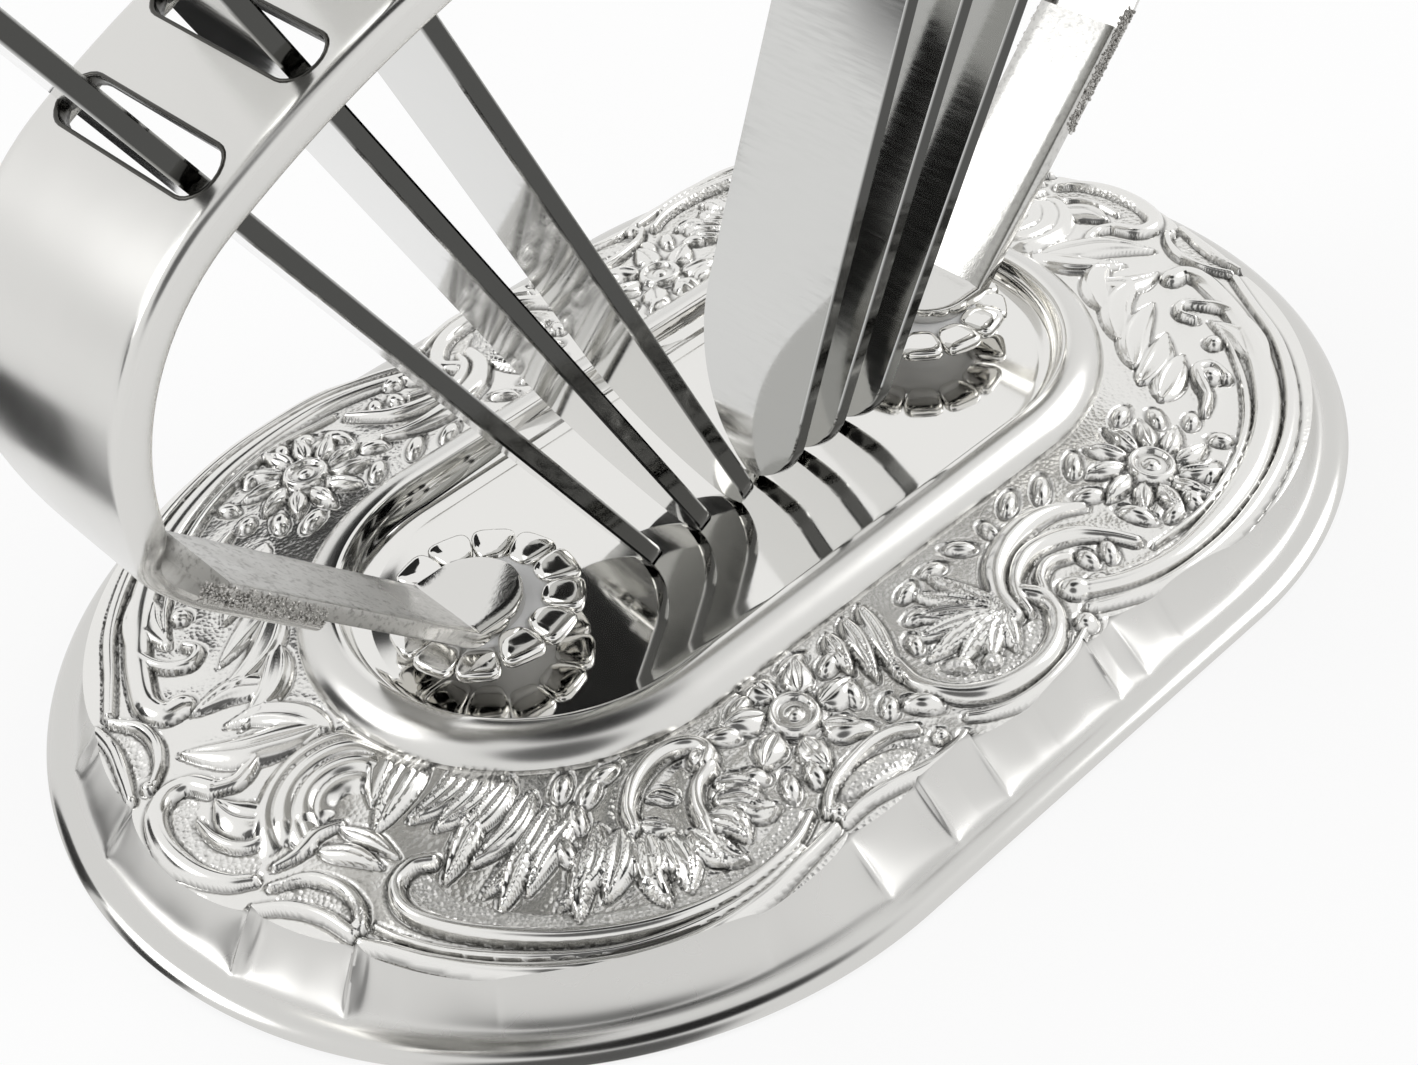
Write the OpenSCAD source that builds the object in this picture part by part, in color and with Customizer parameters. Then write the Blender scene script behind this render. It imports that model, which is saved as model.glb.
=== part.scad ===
// Fruit knife stand: a pressed oval base with a relief border and a sunk well,
// a slotted hoop carried on two soldered arms, and six knives standing in the hoop.
// Millimetres. Origin under the middle of the base, long side along X, up is Z.

/* [Base] */
// Half length of the base, from its middle to the end of the flange
base_half_length = 70; // [62:0.5:80]
// Radius of the flange round each end
flange_radius = 47.3; // [42:0.1:52]
// Thickness of the pressed sheet
sheet = 1; // [0.8:0.1:1.4]
// Width of the flat lip the base stands on
flange_width = 2.4; // [1.5:0.1:4]
// Height of the outer edge of the border
border_edge_height = 5.4; // [4.6:0.1:8]
// Width of the border between the cove and the bead
border_width = 20; // [16:0.2:22]
// Height of the border where it meets the bead
border_inner_height = 7.5; // [6.8:0.1:9.5]
// Radius of the round bead about the well
bead_radius = 2; // [1.4:0.1:2.6]
// Height of the top of the bead
bead_top = 10; // [9.4:0.1:12]
// Height of the mirror floor of the well
well_floor = 6.6; // [5.8:0.1:7.2]

/* [Relief] */
// Thickness of the scrolls and mouldings on the border
scroll_rod = 1.7; // [1.4:0.1:2]
// Thickness of the leaves on the border
leaf_rod = 1.5; // [1.2:0.1:1.7]
// Distance of the petals from the middle of a flower
flower_radius = 4.6; // [4:0.1:5]

/* [Rosettes and arms] */
// Distance of each rosette from the middle of the base
rosette_x = 29; // [27:0.5:31]
// Radius of the ring of lobe centres
lobe_ring = 7; // [6:0.1:7.4]
// Number of lobes in a rosette
lobes = 12; // [8:1:14]
// Height of a rosette above the floor of the well
rosette_height = 3.8; // [3:0.1:4.6]
// Width of the arm strip
arm_width = 9.5; // [7:0.1:11]
// Thickness of the arm strip
arm_sheet = 1.7; // [1.2:0.1:2.2]
// Distance from the middle of a rosette out to the bend of its arm
foot_out = 4.8; // [4.4:0.1:5.2]
// Length of the flat tab under an arm, from its bend to the start of its round end
tab_length = 3.4; // [2:0.1:5]
// Diameter of the fixing screw under each foot
screw_d = 3; // [2.5:0.1:3.5]

/* [Hoop] */
// Height of the top of the hoop
hoop_top = 79.3; // [76:0.1:84]
// Radius of the long arc over the top
top_arc = 106; // [96:1:120]
// Radius of the two shoulders
shoulder_arc = 22.7; // [20:0.1:26]
// Angle of the hoop from level where arc and shoulder meet
shoulder_angle = 28.3; // [26:0.1:31]
// Full width of the hoop band
hoop_width = 22; // [20:0.5:26]
// Thickness of the hoop band
hoop_sheet = 1.2; // [0.9:0.1:1.6]
// Thickness of the turned edge along both sides of the band
turned_edge = 1.2; // [0.8:0.1:1.8]
// Depth of the turned edge, from the outer face of the band
turned_drop = 2.6; // [2:0.1:3.4]
// Height below which the band narrows towards the arms
taper_top = 47; // [42:0.5:52]
// Length of the hoop's end that lies over the outside of the arm
lap_length = 11; // [8:0.5:14]
// Width of a knife slot, along the band
slot_width = 4.2; // [3.4:0.1:5]
// Room between a blade and each round end of its slot
slot_end = 1.3; // [1.1:0.1:1.5]

/* [Knives] */
// Distance of the three blade tips of a fan from the middle, inner to outer
tip_x = [1.8, 7.2, 13.2];
// Lean of the three knives of a fan from upright, in degrees, inner to outer
knife_lean = [23.2, 26.8, 30.8];
// Width of a blade
blade_width = 15.6; // [14:0.1:16]
// Thickness of a blade at its back
blade_back = 1.7; // [1.2:0.1:2]
// Thickness of a blade at its cutting edge
blade_edge = 0.4; // [0.3:0.05:0.8]
// Length of a blade from tip to bolster
blade_length = 92; // [88:1:104]
// Length of the bolster
bolster_length = 7; // [5:0.5:10]
// Length of a handle
handle_length = 78; // [66:1:90]
// Half thickness of a handle at its thick end
handle_half = 4.2; // [3.4:0.1:4.6]
// Gap between a blade tip and the floor of the well
rest_gap = 0.1; // [0.05:0.05:0.3]
// Gap between a blade and the outer side of its slot
slot_gap = 0.5; // [0.4:0.05:0.6]

/* [Hidden] */
$fn = 96;
fine = 0.01;
end_x = base_half_length - flange_radius;
cove_foot = flange_radius - flange_width;
cove_r = border_edge_height - 1.2 - sheet;
border_outer = cove_foot + 1 - cove_r;
border_inner = border_outer - border_width;
bead_r = border_inner - bead_radius - 0.1;
bead_z = bead_top - bead_radius;
well_r = bead_r - bead_radius - 2.6;
tab_z = well_floor + rosette_height;
arc_z = hoop_top - top_arc;
meet_x = top_arc * sin(shoulder_angle);
meet_z = arc_z + top_arc * cos(shoulder_angle);
shoulder_x = meet_x - shoulder_arc * sin(shoulder_angle);
shoulder_z = meet_z - shoulder_arc * cos(shoulder_angle);
foot_x = rosette_x + foot_out;
foot_span = norm([shoulder_x - foot_x, shoulder_z - tab_z]);
arm_lean = atan2(shoulder_x - foot_x, shoulder_z - tab_z) + asin((shoulder_arc - hoop_sheet) / foot_span);
strip_z = shoulder_z - (shoulder_arc - hoop_sheet) * sin(arm_lean);
strip_length = (strip_z - tab_z) / cos(arm_lean);
screw_x = foot_x - tab_length;
lobe_z = rosette_height - 0.8;
slot_length = blade_width + 2 * slot_end;
screw_head = 1.6;
lobe_radius = min(lobe_ring * sin(180 / lobes) - 0.06, rosette_height / 2 - 0.12);
lens_shift = 5;

function border_z(r) = border_edge_height
    + (border_inner_height - border_edge_height) * (border_outer - r) / border_width;
function oval_r(x, y) = norm([max(abs(x) - end_x, 0), y]);
// Points of an arc about a centre, from one angle to another
function arc(cx, cy, r, a, b, n) = [for (i = [0 : n])
    let (t = a + (b - a) * i / n) [cx + r * cos(t), cy + r * sin(t)]];

// Oval sweep: the child outline goes round the two half turns and along the two straights
module oval_sweep() {
    for (turn = [0, 180]) rotate([0, 0, turn]) {
        translate([end_x, 0, 0]) rotate([0, 0, -90]) rotate_extrude(angle = 180) children();
        rotate([90, 0, 90]) translate([0, 0, -end_x]) linear_extrude(2 * end_x) children();
    }
}

// Oval plate: the same oval as a flat area
module oval_plate(r) {
    for (s = [-1, 1]) translate([s * end_x, 0]) circle(r);
    square([2 * end_x, 2 * r], center = true);
}

// Section of the pressed base from the rim of the well floor out to the flange
module base_section() {
    polygon(concat(
        [[well_r - 4, well_floor]],
        arc(well_r, well_floor + 2.6, 2.6, 270, 315, 5),
        arc(bead_r, bead_z, bead_radius, 195, -8, 14),
        [[border_inner, border_inner_height], [border_outer - 1, border_edge_height + 0.1]],
        arc(border_outer - 1, border_edge_height - 0.9, 1, 80, 0, 4),
        arc(cove_foot + 0.6, border_edge_height - 1.2, cove_r, 180, 262, 8),
        [[flange_radius, sheet], [flange_radius, 0], [cove_foot - 1, 0]],
        [[border_outer - sheet - 0.4, border_edge_height - 1.6]],
        [[border_outer - 2.4, border_edge_height - sheet]],
        [[bead_r + 1.2, border_inner_height - sheet], [bead_r - 1.4, bead_z - 1.7]],
        [[well_r + 0.8, well_floor - sheet], [well_r - 4, well_floor - sheet]]));
}

// Place on the border: at its height, tipped with its slope
module on_border(x, y) {
    out = atan2(y, x - sign(x) * min(abs(x), end_x));
    tip = atan2(border_inner_height - border_edge_height, border_width);
    translate([x, y, border_z(oval_r(x, y))])
        rotate([0, 0, out]) rotate([0, tip, 0]) rotate([0, 0, -out]) children();
}

// Scroll: a rod bent to an arc on the border
module scroll(x, y, r, from, to) {
    on_border(x, y) rotate([0, 0, from]) rotate_extrude(angle = to - from, $fn = 48)
        translate([r, 0]) circle(d = scroll_rod, $fn = 24);
}

// Moulding: a long rod bent level round one end of the border
module moulding(x, y, r, from, to) {
    middle = (from + to) / 2;
    translate([x, y, border_z(oval_r(x + r * cos(middle), y + r * sin(middle)))]) rotate([0, 0, from])
        rotate_extrude(angle = to - from, $fn = 96) translate([r, 0]) circle(d = scroll_rod, $fn = 24);
}

// Leaf: a straight rod on the border from its root to its tip
module leaf(x, y, tip_x, tip_y) {
    on_border((x + tip_x) / 2, (y + tip_y) / 2) rotate([0, 0, atan2(tip_y - y, tip_x - x)])
        rotate([0, 90, 0]) cylinder(d = leaf_rod, h = norm([tip_x - x, tip_y - y]), center = true, $fn = 24);
}

// Boss: a ball sunk in the border
module boss(x, y, r) {
    on_border(x, y) translate([0, 0, 0.9 - r]) sphere(r, $fn = 24);
}

// Flower: a ring of petals about a raised middle
module flower(x, y, petals) {
    boss(x, y, flower_radius * 0.42);
    for (a = [0 : 360 / petals : 359])
        boss(x + flower_radius * cos(a), y + flower_radius * sin(a), flower_radius * 0.3);
}

// Left end of the relief: an open scroll about a knob, a ribbed leaf and a small lobe
module left_end() {
    scroll(-57.4, -0.5, 6.5, 100, 240);
    boss(-57.9, -0.8, 2);
    for (r = [2.9, 5.3, 7.7]) scroll(-50.6, -7.4, r, 15, 165);
    scroll(-41.1, 19.1, 18.8, 212, 248);
    leaf(-47.6, 4.6, -51.6, 8.4);
    leaf(-46.9, 9.6, -53, 12.2);
    leaf(-54.6, -9.4, -52.6, -14.4);
    leaf(-51.8, -9.6, -51, -14.4);
    scroll(-61.6, -14.1, 5.5, -40, 70);
}

// Acanthus: leaves that fan out inside two long mouldings, with a curl at their root
module acanthus() {
    moulding(-30.7, -13.6, 23.9, 192, 284);
    moulding(-30.9, -11.4, 28.1, 196, 282);
    leaf(-40.2, -13.4, -49.2, -15.2);
    leaf(-39.8, -15.8, -49.8, -17.6);
    leaf(-39.6, -18.2, -49.8, -20.2);
    leaf(-39.2, -20.4, -49.6, -23);
    leaf(-38.8, -22.6, -48.2, -25.9);
    leaf(-38, -24.6, -46.4, -28.6);
    leaf(-37.6, -26.9, -43.8, -31.4);
    leaf(-37, -29.4, -40.6, -33.6);
    leaf(-34.8, -29.8, -37.2, -34.7);
    leaf(-30.6, -31.8, -30.2, -35.4);
    leaf(-28.8, -31.2, -27, -34.6);
    scroll(-30.7, -29.4, 6.1, 54, 158);
    scroll(-26.3, -33.9, 6.7, 105, 175);
}

// Near side of the relief: two flowers, a shell in its round frame and a long scroll
module near_side() {
    flower(-18.6, -28.3, 7);
    scroll(-17.5, -45, 10.2, 60, 128);
    leaf(-5.6, -24.4, -7.6, -28.4);
    leaf(-8.2, -24.8, -10.4, -30);
    scroll(-0.3, -31.5, 8, 172, 336);
    for (a = [200 : 35 : 340])
        leaf(1.2 + 2.4 * cos(a), -30.6 + 2.4 * sin(a), 1.2 + 6.2 * cos(a), -30.6 + 6.2 * sin(a));
    scroll(12.3, -36.6, 9.2, 47, 150);
    scroll(11.2, -37.5, 6.6, 25, 145);
    boss(9.9, -35.7, 1.4);
    boss(14, -24.8, 1.3);
    boss(17.6, -25.8, 1.3);
    flower(27.4, -31, 8);
}

// Right end of the relief: two long mouldings, leaves and a small lobe
module right_end() {
    moulding(23.2, -5.2, 34.4, 256, 338);
    moulding(23.5, -3.9, 37.6, 254, 338);
    scroll(45.3, -22.8, 6.4, -60, 46);
    boss(42.4, -27, 1.3);
    boss(47.3, -23.7, 1.2);
    leaf(37, -23.2, 44.6, -20.2);
    leaf(38.2, -20.6, 46.6, -16.2);
    leaf(40.6, -17, 49.8, -11.4);
    leaf(43.6, -12.6, 51.8, -7);
    scroll(63.9, -13.5, 6.4, 126, 218);
}

// Half of the relief; the other half is the same turned end for end
module relief_half() {
    left_end();
    acanthus();
    near_side();
    right_end();
}

// Pressed base with flange, cove, border relief, bead and well
module base() {
    color([0.80, 0.80, 0.79]) difference() {
        union() {
            oval_sweep() base_section();
            translate([0, 0, well_floor - sheet]) linear_extrude(sheet) oval_plate(well_r - 3);
            for (turn = [0, 180]) rotate([0, 0, turn]) relief_half();
        }
        for (s = [-1, 1]) translate([s * screw_x, 0, 0]) cylinder(d = screw_d + 0.2, h = 20, $fn = 32);
    }
}

// Rosette with a ring of round lobes, lower under the arm, drilled for the fixing screw
module rosette_body() {
    color([0.82, 0.82, 0.81]) difference() {
        union() {
            cylinder(r = lobe_ring - 0.6, h = rosette_height - 0.7);
            cylinder(r = lobe_ring - 1.8, h = rosette_height);
            for (i = [0 : lobes - 1]) let (a = (i + 0.5) * 360 / lobes) rotate([0, 0, a])
                translate([lobe_ring, 0, cos(a) > 0.64 ? lobe_radius + 0.1 : lobe_z])
                    sphere(lobe_radius, $fn = 24);
        }
        translate([screw_x - rosette_x, 0, -1]) cylinder(d = screw_d + 0.2, h = rosette_height + 2, $fn = 32);
    }
}
module rosette_right() { translate([rosette_x, 0, well_floor]) rosette_body(); }
module rosette_left() { rotate([0, 0, 180]) rosette_right(); }

// Slotted screw that holds a foot from below
module screw_body() {
    color([0.70, 0.62, 0.42]) translate([screw_x, 0, well_floor - sheet]) difference() {
        union() {
            translate([0, 0, -screw_head]) cylinder(d = screw_d * 1.9, h = screw_head, $fn = 48);
            cylinder(d = screw_d, h = sheet + rosette_height + arm_sheet - 0.5, $fn = 32);
        }
        translate([-screw_d, -0.35, -screw_head - 1]) cube([2 * screw_d, 0.7, 1.8]);
    }
}
module screw_right() { screw_body(); }
module screw_left() { rotate([0, 0, 180]) screw_body(); }

// Arm strip: a sloping length bent to a flat tab with a round end
module arm_body() {
    color([0.76, 0.76, 0.75]) difference() {
        union() {
            translate([foot_x, 0, tab_z]) rotate([0, arm_lean, 0]) translate([-arm_sheet, -arm_width / 2, 0])
                cube([arm_sheet, arm_width, strip_length]);
            rotate([90, 0, 0]) translate([0, 0, -arm_width / 2]) linear_extrude(arm_width)
                polygon(arc(foot_x, tab_z, arm_sheet, 90, 180 - arm_lean, 6));
            translate([foot_x - tab_length, -arm_width / 2, tab_z]) cube([tab_length, arm_width, arm_sheet]);
            translate([foot_x - tab_length, 0, tab_z]) cylinder(d = arm_width, h = arm_sheet);
        }
        translate([screw_x, 0, tab_z - 1]) cylinder(d = screw_d + 0.1, h = arm_sheet + 0.6, $fn = 32);
    }
}
module arm_right() { arm_body(); }
module arm_left() { rotate([0, 0, 180]) arm_body(); }

// Line of the hoop seen from the front, from lap to lap, set in from the outer face
function lap_end(side, inset) = let (r = shoulder_arc - inset)
    [side * (shoulder_x + r * cos(arm_lean) - lap_length * sin(arm_lean)),
    shoulder_z - r * sin(arm_lean) - lap_length * cos(arm_lean)];
function hoop_line(inset) = concat([lap_end(1, inset)],
    arc(shoulder_x, shoulder_z, shoulder_arc - inset, -arm_lean, 90 - shoulder_angle, 18),
    [for (i = [1 : 27]) let (t = 90 - shoulder_angle + i * shoulder_angle / 14)
        [(top_arc - inset) * cos(t), arc_z + (top_arc - inset) * sin(t)]],
    arc(-shoulder_x, shoulder_z, shoulder_arc - inset, 90 + shoulder_angle, 180 + arm_lean, 18),
    [lap_end(-1, inset)]);

// Strip of the hoop: so wide, and as thick as the inset
module hoop_strip(wide, inset) {
    inner = hoop_line(inset);
    rotate([90, 0, 0]) translate([0, 0, -wide / 2]) linear_extrude(wide)
        polygon(concat(hoop_line(0), [for (i = [len(inner) - 1 : -1 : 0]) inner[i]]));
}

// Outline that narrows the band towards the arms, seen along the base
module hoop_taper() {
    w = hoop_width / 2;
    a = arm_width / 2;
    low = strip_z + 2;
    rise = taper_top - low;
    ease = [for (i = [0 : 8]) [w - (w - a) * (1 - cos(i * 22.5)) / 2, taper_top - rise * i / 8]];
    side = concat([[w + 1, hoop_top + 5], [w + 1, taper_top + 1]], ease, [[a, 0]]);
    polygon(concat(side, [for (i = [len(side) - 1 : -1 : 0]) [-side[i][0], side[i][1]]]));
}

// Slotted hoop over the base
module hoop() {
    color([0.80, 0.80, 0.79]) difference() {
        intersection() {
            union() {
                hoop_strip(hoop_width, hoop_sheet);
                for (s = [-1, 1]) translate([0, s * (hoop_width - turned_edge) / 2, 0])
                    hoop_strip(turned_edge, turned_drop);
            }
            rotate([90, 0, 90]) translate([0, 0, -200]) linear_extrude(400) hoop_taper();
        }
        for (n = [1 : 6]) knife_place(n) slot_cut(n);
    }
}

// Place of knife n: 1 to 3 lean left from outside in, 4 to 6 lean right from inside out
function fan(n) = n < 4 ? 3 - n : n - 4;
function side(n) = n < 4 ? -1 : 1;
module knife_place(n) {
    lift = rest_gap + blade_back / 2 * sin(knife_lean[fan(n)]);
    translate([side(n) * tip_x[fan(n)], 0, well_floor + lift])
        rotate([0, side(n) * knife_lean[fan(n)], 0]) children();
}

// Slot in the hoop, set inwards so that the blade leans near its outer side
module slot_cut(n) {
    offset_in = slot_width / 2 - blade_back / 2 - slot_gap;
    translate([-side(n) * offset_in, 0, 50]) linear_extrude(60) {
        square([slot_width, slot_length - slot_width], center = true);
        for (s = [-1, 1]) translate([0, s * (slot_length - slot_width) / 2]) circle(d = slot_width, $fn = 32);
    }
}

// Lens shaped body: two turned bodies set apart in thickness and intersected
module lens(points) {
    intersection() {
        translate([lens_shift, 0, 0]) rotate_extrude() polygon(points);
        translate([-lens_shift, 0, 0]) rotate_extrude() polygon(points);
    }
}

// Blade outline with a straight back and a cutting edge that curves up to the tip
module blade_outline() {
    w = blade_width / 2;
    tip = -w + 5;
    r = ((w - tip) * (w - tip) + 256) / (2 * (w - tip));
    polygon(concat([[-w, blade_length + 1]], arc(tip, 5, 5, 180, 270, 8),
        arc(w - r, 16, r, -asin(16 / r), 0, 8), [[w, blade_length + 1]]));
}

// Steel blade with its bolster and the tang that goes into the handle
module blade_body() {
    w = blade_width / 2;
    b = blade_length;
    color([0.72, 0.73, 0.74]) {
        intersection() {
            rotate([90, 0, 90]) translate([0, 0, -5]) linear_extrude(10) blade_outline();
            linear_extrude(b + 1)
                polygon([for (p = [[-1, -1], [1, -1], [1, 1], [-1, 1]])
                    [p[0] * (p[1] < 0 ? blade_back : blade_edge) / 2, p[1] * w]]);
        }
        translate([0, 0, b]) lens([[0, 0], [lens_shift + 1.2, 0],
            [lens_shift + 2.6, bolster_length * 0.4], [lens_shift + 2.6, bolster_length * 0.75],
            [lens_shift + 2.3, bolster_length], [0, bolster_length]]);
        translate([0, 0, b + bolster_length - fine]) cylinder(d = 3.6, h = handle_length * 0.55, $fn = 32);
    }
}

// Hollow ware handle: slim at the bolster, full at the round end, bored for the tang
function handle_h(s) = s < 0.8 ? 2.6 + (handle_half - 2.6) * pow(s / 0.8, 1.4)
    : handle_half * sqrt(max(0, 1 - pow((s - 0.8) / 0.2, 2)));
module handle_body() {
    steps = [0, 0.08, 0.2, 0.32, 0.44, 0.56, 0.68, 0.8, 0.86, 0.91, 0.95, 0.98, 1];
    color([0.78, 0.78, 0.77]) translate([0, 0, blade_length + bolster_length]) difference() {
        lens(concat([[0, 0]],
            [for (s = steps) [lens_shift + handle_h(s), handle_length * s]], [[0, handle_length]]));
        translate([0, 0, -1]) cylinder(d = 3.8, h = handle_length * 0.55 + 2, $fn = 32);
    }
}

module blade_1() { knife_place(1) blade_body(); }
module blade_2() { knife_place(2) blade_body(); }
module blade_3() { knife_place(3) blade_body(); }
module blade_4() { knife_place(4) blade_body(); }
module blade_5() { knife_place(5) blade_body(); }
module blade_6() { knife_place(6) blade_body(); }
module handle_1() { knife_place(1) handle_body(); }
module handle_2() { knife_place(2) handle_body(); }
module handle_3() { knife_place(3) handle_body(); }
module handle_4() { knife_place(4) handle_body(); }
module handle_5() { knife_place(5) handle_body(); }
module handle_6() { knife_place(6) handle_body(); }

base();
rosette_left();
rosette_right();
screw_left();
screw_right();
arm_left();
arm_right();
hoop();
blade_1();
blade_2();
blade_3();
blade_4();
blade_5();
blade_6();
handle_1();
handle_2();
handle_3();
handle_4();
handle_5();
handle_6();
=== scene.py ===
# %% [markdown]
# # A fruit knife stand in silver plate
# The stand is an oval pressed base with a rococo border, two strip arms that rise from
# rosettes, and a slotted hoop in which six knives stand tip down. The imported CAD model
# gives every piece its place. This script gives the pieces their looks: the relief of the
# border, the soft edges of the pressed metal and the mirror polish.

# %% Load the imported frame
import math

import bmesh
import bpy
import numpy as np
from mathutils import Matrix, Vector


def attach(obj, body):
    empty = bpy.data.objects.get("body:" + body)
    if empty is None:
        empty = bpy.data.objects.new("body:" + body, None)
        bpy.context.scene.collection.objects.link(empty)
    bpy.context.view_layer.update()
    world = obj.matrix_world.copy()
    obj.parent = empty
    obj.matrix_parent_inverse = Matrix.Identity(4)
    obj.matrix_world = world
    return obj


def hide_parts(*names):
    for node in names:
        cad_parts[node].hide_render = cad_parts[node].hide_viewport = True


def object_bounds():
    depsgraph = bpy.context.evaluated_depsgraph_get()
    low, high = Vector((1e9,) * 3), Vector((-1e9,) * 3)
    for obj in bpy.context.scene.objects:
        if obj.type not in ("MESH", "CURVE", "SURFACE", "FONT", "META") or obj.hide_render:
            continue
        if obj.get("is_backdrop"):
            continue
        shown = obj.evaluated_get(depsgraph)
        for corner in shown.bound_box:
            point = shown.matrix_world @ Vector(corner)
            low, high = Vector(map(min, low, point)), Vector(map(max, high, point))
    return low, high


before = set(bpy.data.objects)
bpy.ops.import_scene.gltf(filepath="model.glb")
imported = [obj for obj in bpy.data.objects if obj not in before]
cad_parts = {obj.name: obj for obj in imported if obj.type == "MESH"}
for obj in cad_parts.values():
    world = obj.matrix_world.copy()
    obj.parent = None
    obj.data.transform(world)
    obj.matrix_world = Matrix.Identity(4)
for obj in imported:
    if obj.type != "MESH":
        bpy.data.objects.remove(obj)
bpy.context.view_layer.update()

# %% [markdown]
# ## Small helpers
# A shader is a graph, and a few functions that add nodes with their settings and links keep
# the materials short. Meshes are worked out in millimetres with numpy, because that is how
# a silversmith measures, and one function turns them into a finished piece in metres.


# %% Helpers for nodes and meshes
def linear(code):
    """A colour written as sRGB hex, as linear red, green, blue and alpha."""
    part = [int(code[i:i + 2], 16) / 255 for i in (0, 2, 4)]
    return [c / 12.92 if c <= 0.04045 else ((c + 0.055) / 1.055) ** 2.4 for c in part] + [1.0]


def add(tree, kind, inputs=None, **settings):
    """Adds one node: its settings by name, and its inputs as values or as sockets to link."""
    made = tree.nodes.new(kind)
    for name, value in settings.items():
        setattr(made, name, value)
    for name, value in (inputs or {}).items():
        if isinstance(value, bpy.types.NodeSocket):
            tree.links.new(value, made.inputs[name])
        else:
            made.inputs[name].default_value = value
    return made


def maths(tree, operation, *values):
    """One step of arithmetic on values or sockets."""
    return add(tree, "ShaderNodeMath", dict(enumerate(values)), operation=operation).outputs[0]


def ranged(tree, value, low, high, first=0.0, last=1.0, **settings):
    """Carries a value from the range low to high over to the range first to last."""
    inputs = {"Value": value, "From Min": low, "From Max": high, "To Min": first, "To Max": last}
    return add(tree, "ShaderNodeMapRange", inputs, **settings).outputs["Result"]


def mixed(tree, share, first, second):
    """A colour between two others, each given as hex or as a socket."""
    first, second = (linear(c) if isinstance(c, str) else c for c in (first, second))
    return add(tree, "ShaderNodeMix", {"Factor": share, "A": first, "B": second}, data_type="RGBA").outputs["Result"]


def noise(tree, place, scale, detail=2.0, roughness=0.5):
    """Soft cloudy noise; its forms are about 1 / scale metres across."""
    inputs = {"Vector": place, "Scale": scale, "Detail": detail, "Roughness": roughness}
    return add(tree, "ShaderNodeTexNoise", inputs).outputs["Fac"]


def attribute(tree, name):
    return add(tree, "ShaderNodeAttribute", attribute_name=name).outputs["Fac"]


def bumped(tree, height, strength, distance):
    inputs = {"Height": height, "Strength": strength, "Distance": distance}
    return add(tree, "ShaderNodeBump", inputs).outputs["Normal"]


def placed(name, data):
    """An object with this data, linked to the scene."""
    made = bpy.data.objects.new(name, data)
    bpy.context.scene.collection.objects.link(made)
    return made


def piece(name, points, faces, material, body, nodes=(), sharp=35, weld=0.0, closed=False):
    """A mesh in millimetres becomes a piece in metres; a closed one has its faces turned outward."""
    mesh = bpy.data.meshes.new(name)
    mesh.from_pydata((np.asarray(points) * 0.001).tolist(), [], [list(f) for f in faces])
    if weld or closed:
        shape = bmesh.new()
        shape.from_mesh(mesh)
        if weld:
            bmesh.ops.remove_doubles(shape, verts=shape.verts, dist=weld * 0.001)
            bmesh.ops.dissolve_degenerate(shape, edges=shape.edges, dist=weld * 0.0005)
        bmesh.ops.recalc_face_normals(shape, faces=shape.faces)
        shape.to_mesh(mesh)
        shape.free()
    mesh.polygons.foreach_set("use_smooth", [True] * len(mesh.polygons))
    mesh.set_sharp_from_angle(angle=math.radians(sharp))
    mesh.materials.append(material)
    made = placed(name, mesh)
    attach(made, body)
    if nodes:
        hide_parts(*nodes)
    print(name, "faces:", len(mesh.polygons))
    return made


def grid_faces(rows, columns, closed_rows=False, closed_columns=False, start=0):
    """Quads between the points of a grid that is stored row by row."""
    r = np.arange(rows if closed_rows else rows - 1)
    c = np.arange(columns if closed_columns else columns - 1)
    a, b = np.meshgrid(r, c, indexing="ij")
    a2, b2 = (a + 1) % rows, (b + 1) % columns
    quads = np.stack([a * columns + b, a2 * columns + b, a2 * columns + b2, a * columns + b2], -1)
    return (quads.reshape(-1, 4) + start).tolist()


# %% [markdown]
# ## Materials
# Silver plate is a metal with almost no colour of its own: what the eye sees is the room.
# So the finish lies in how sharp the reflections are. Handling leaves soft smudges that make
# the polish uneven, and the hollows of the relief are painted darker, as painted shade.


# %% Silver plate, polished
def new_material(name):
    """An empty material, its tree, and the socket of the place on the object in metres."""
    made = bpy.data.materials.new(name)
    made.use_nodes = True
    tree = made.node_tree
    tree.nodes.clear()
    return made, tree, add(tree, "ShaderNodeTexCoord").outputs["Object"]


def bare_metal(tree, tone, rough, normal=None):
    """Ends a material as metal without a coat."""
    shader = add(tree, "ShaderNodeBsdfPrincipled", {"Base Color": tone, "Metallic": 1.0, "Roughness": rough})
    if normal is not None:
        tree.links.new(normal, shader.inputs["Normal"])
    add(tree, "ShaderNodeOutputMaterial", {"Surface": shader.outputs["BSDF"]})


def silver_plate():
    """Electroplated silver, buffed: cool white metal, smudged polish, painted shade in the hollows."""
    made, tree, place = new_material("silver_plate_polished")
    # Finger smudges about 9 mm across; satin is 1 where the buffing wheel did not reach.
    buffed = ranged(tree, noise(tree, place, 110.0, 3.0), 0.35, 0.7, 0.04, 0.09)
    rough = maths(tree, "MULTIPLY_ADD", attribute(tree, "satin"), 0.3, buffed)
    # Painted shade: the attribute hollow darkens the tone where shade falls on the metal.
    tone = mixed(tree, attribute(tree, "hollow"), "E6E5E2", "4C4B48")
    # Punched ground: dots of about 0.45 mm, only where the attribute asks for them.
    dots = add(tree, "ShaderNodeTexVoronoi", {"Vector": place, "Scale": 2200.0}).outputs["Distance"]
    raised = maths(tree, "MULTIPLY", dots, attribute(tree, "stipple"))
    # The pressing is never quite even: waves about 6 mm long.
    height = maths(tree, "MULTIPLY_ADD", noise(tree, place, 160.0, 1.0), 0.08, raised)
    bare_metal(tree, tone, rough, bumped(tree, height, 0.5, 0.0003))
    return made


SILVER = silver_plate()


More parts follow.
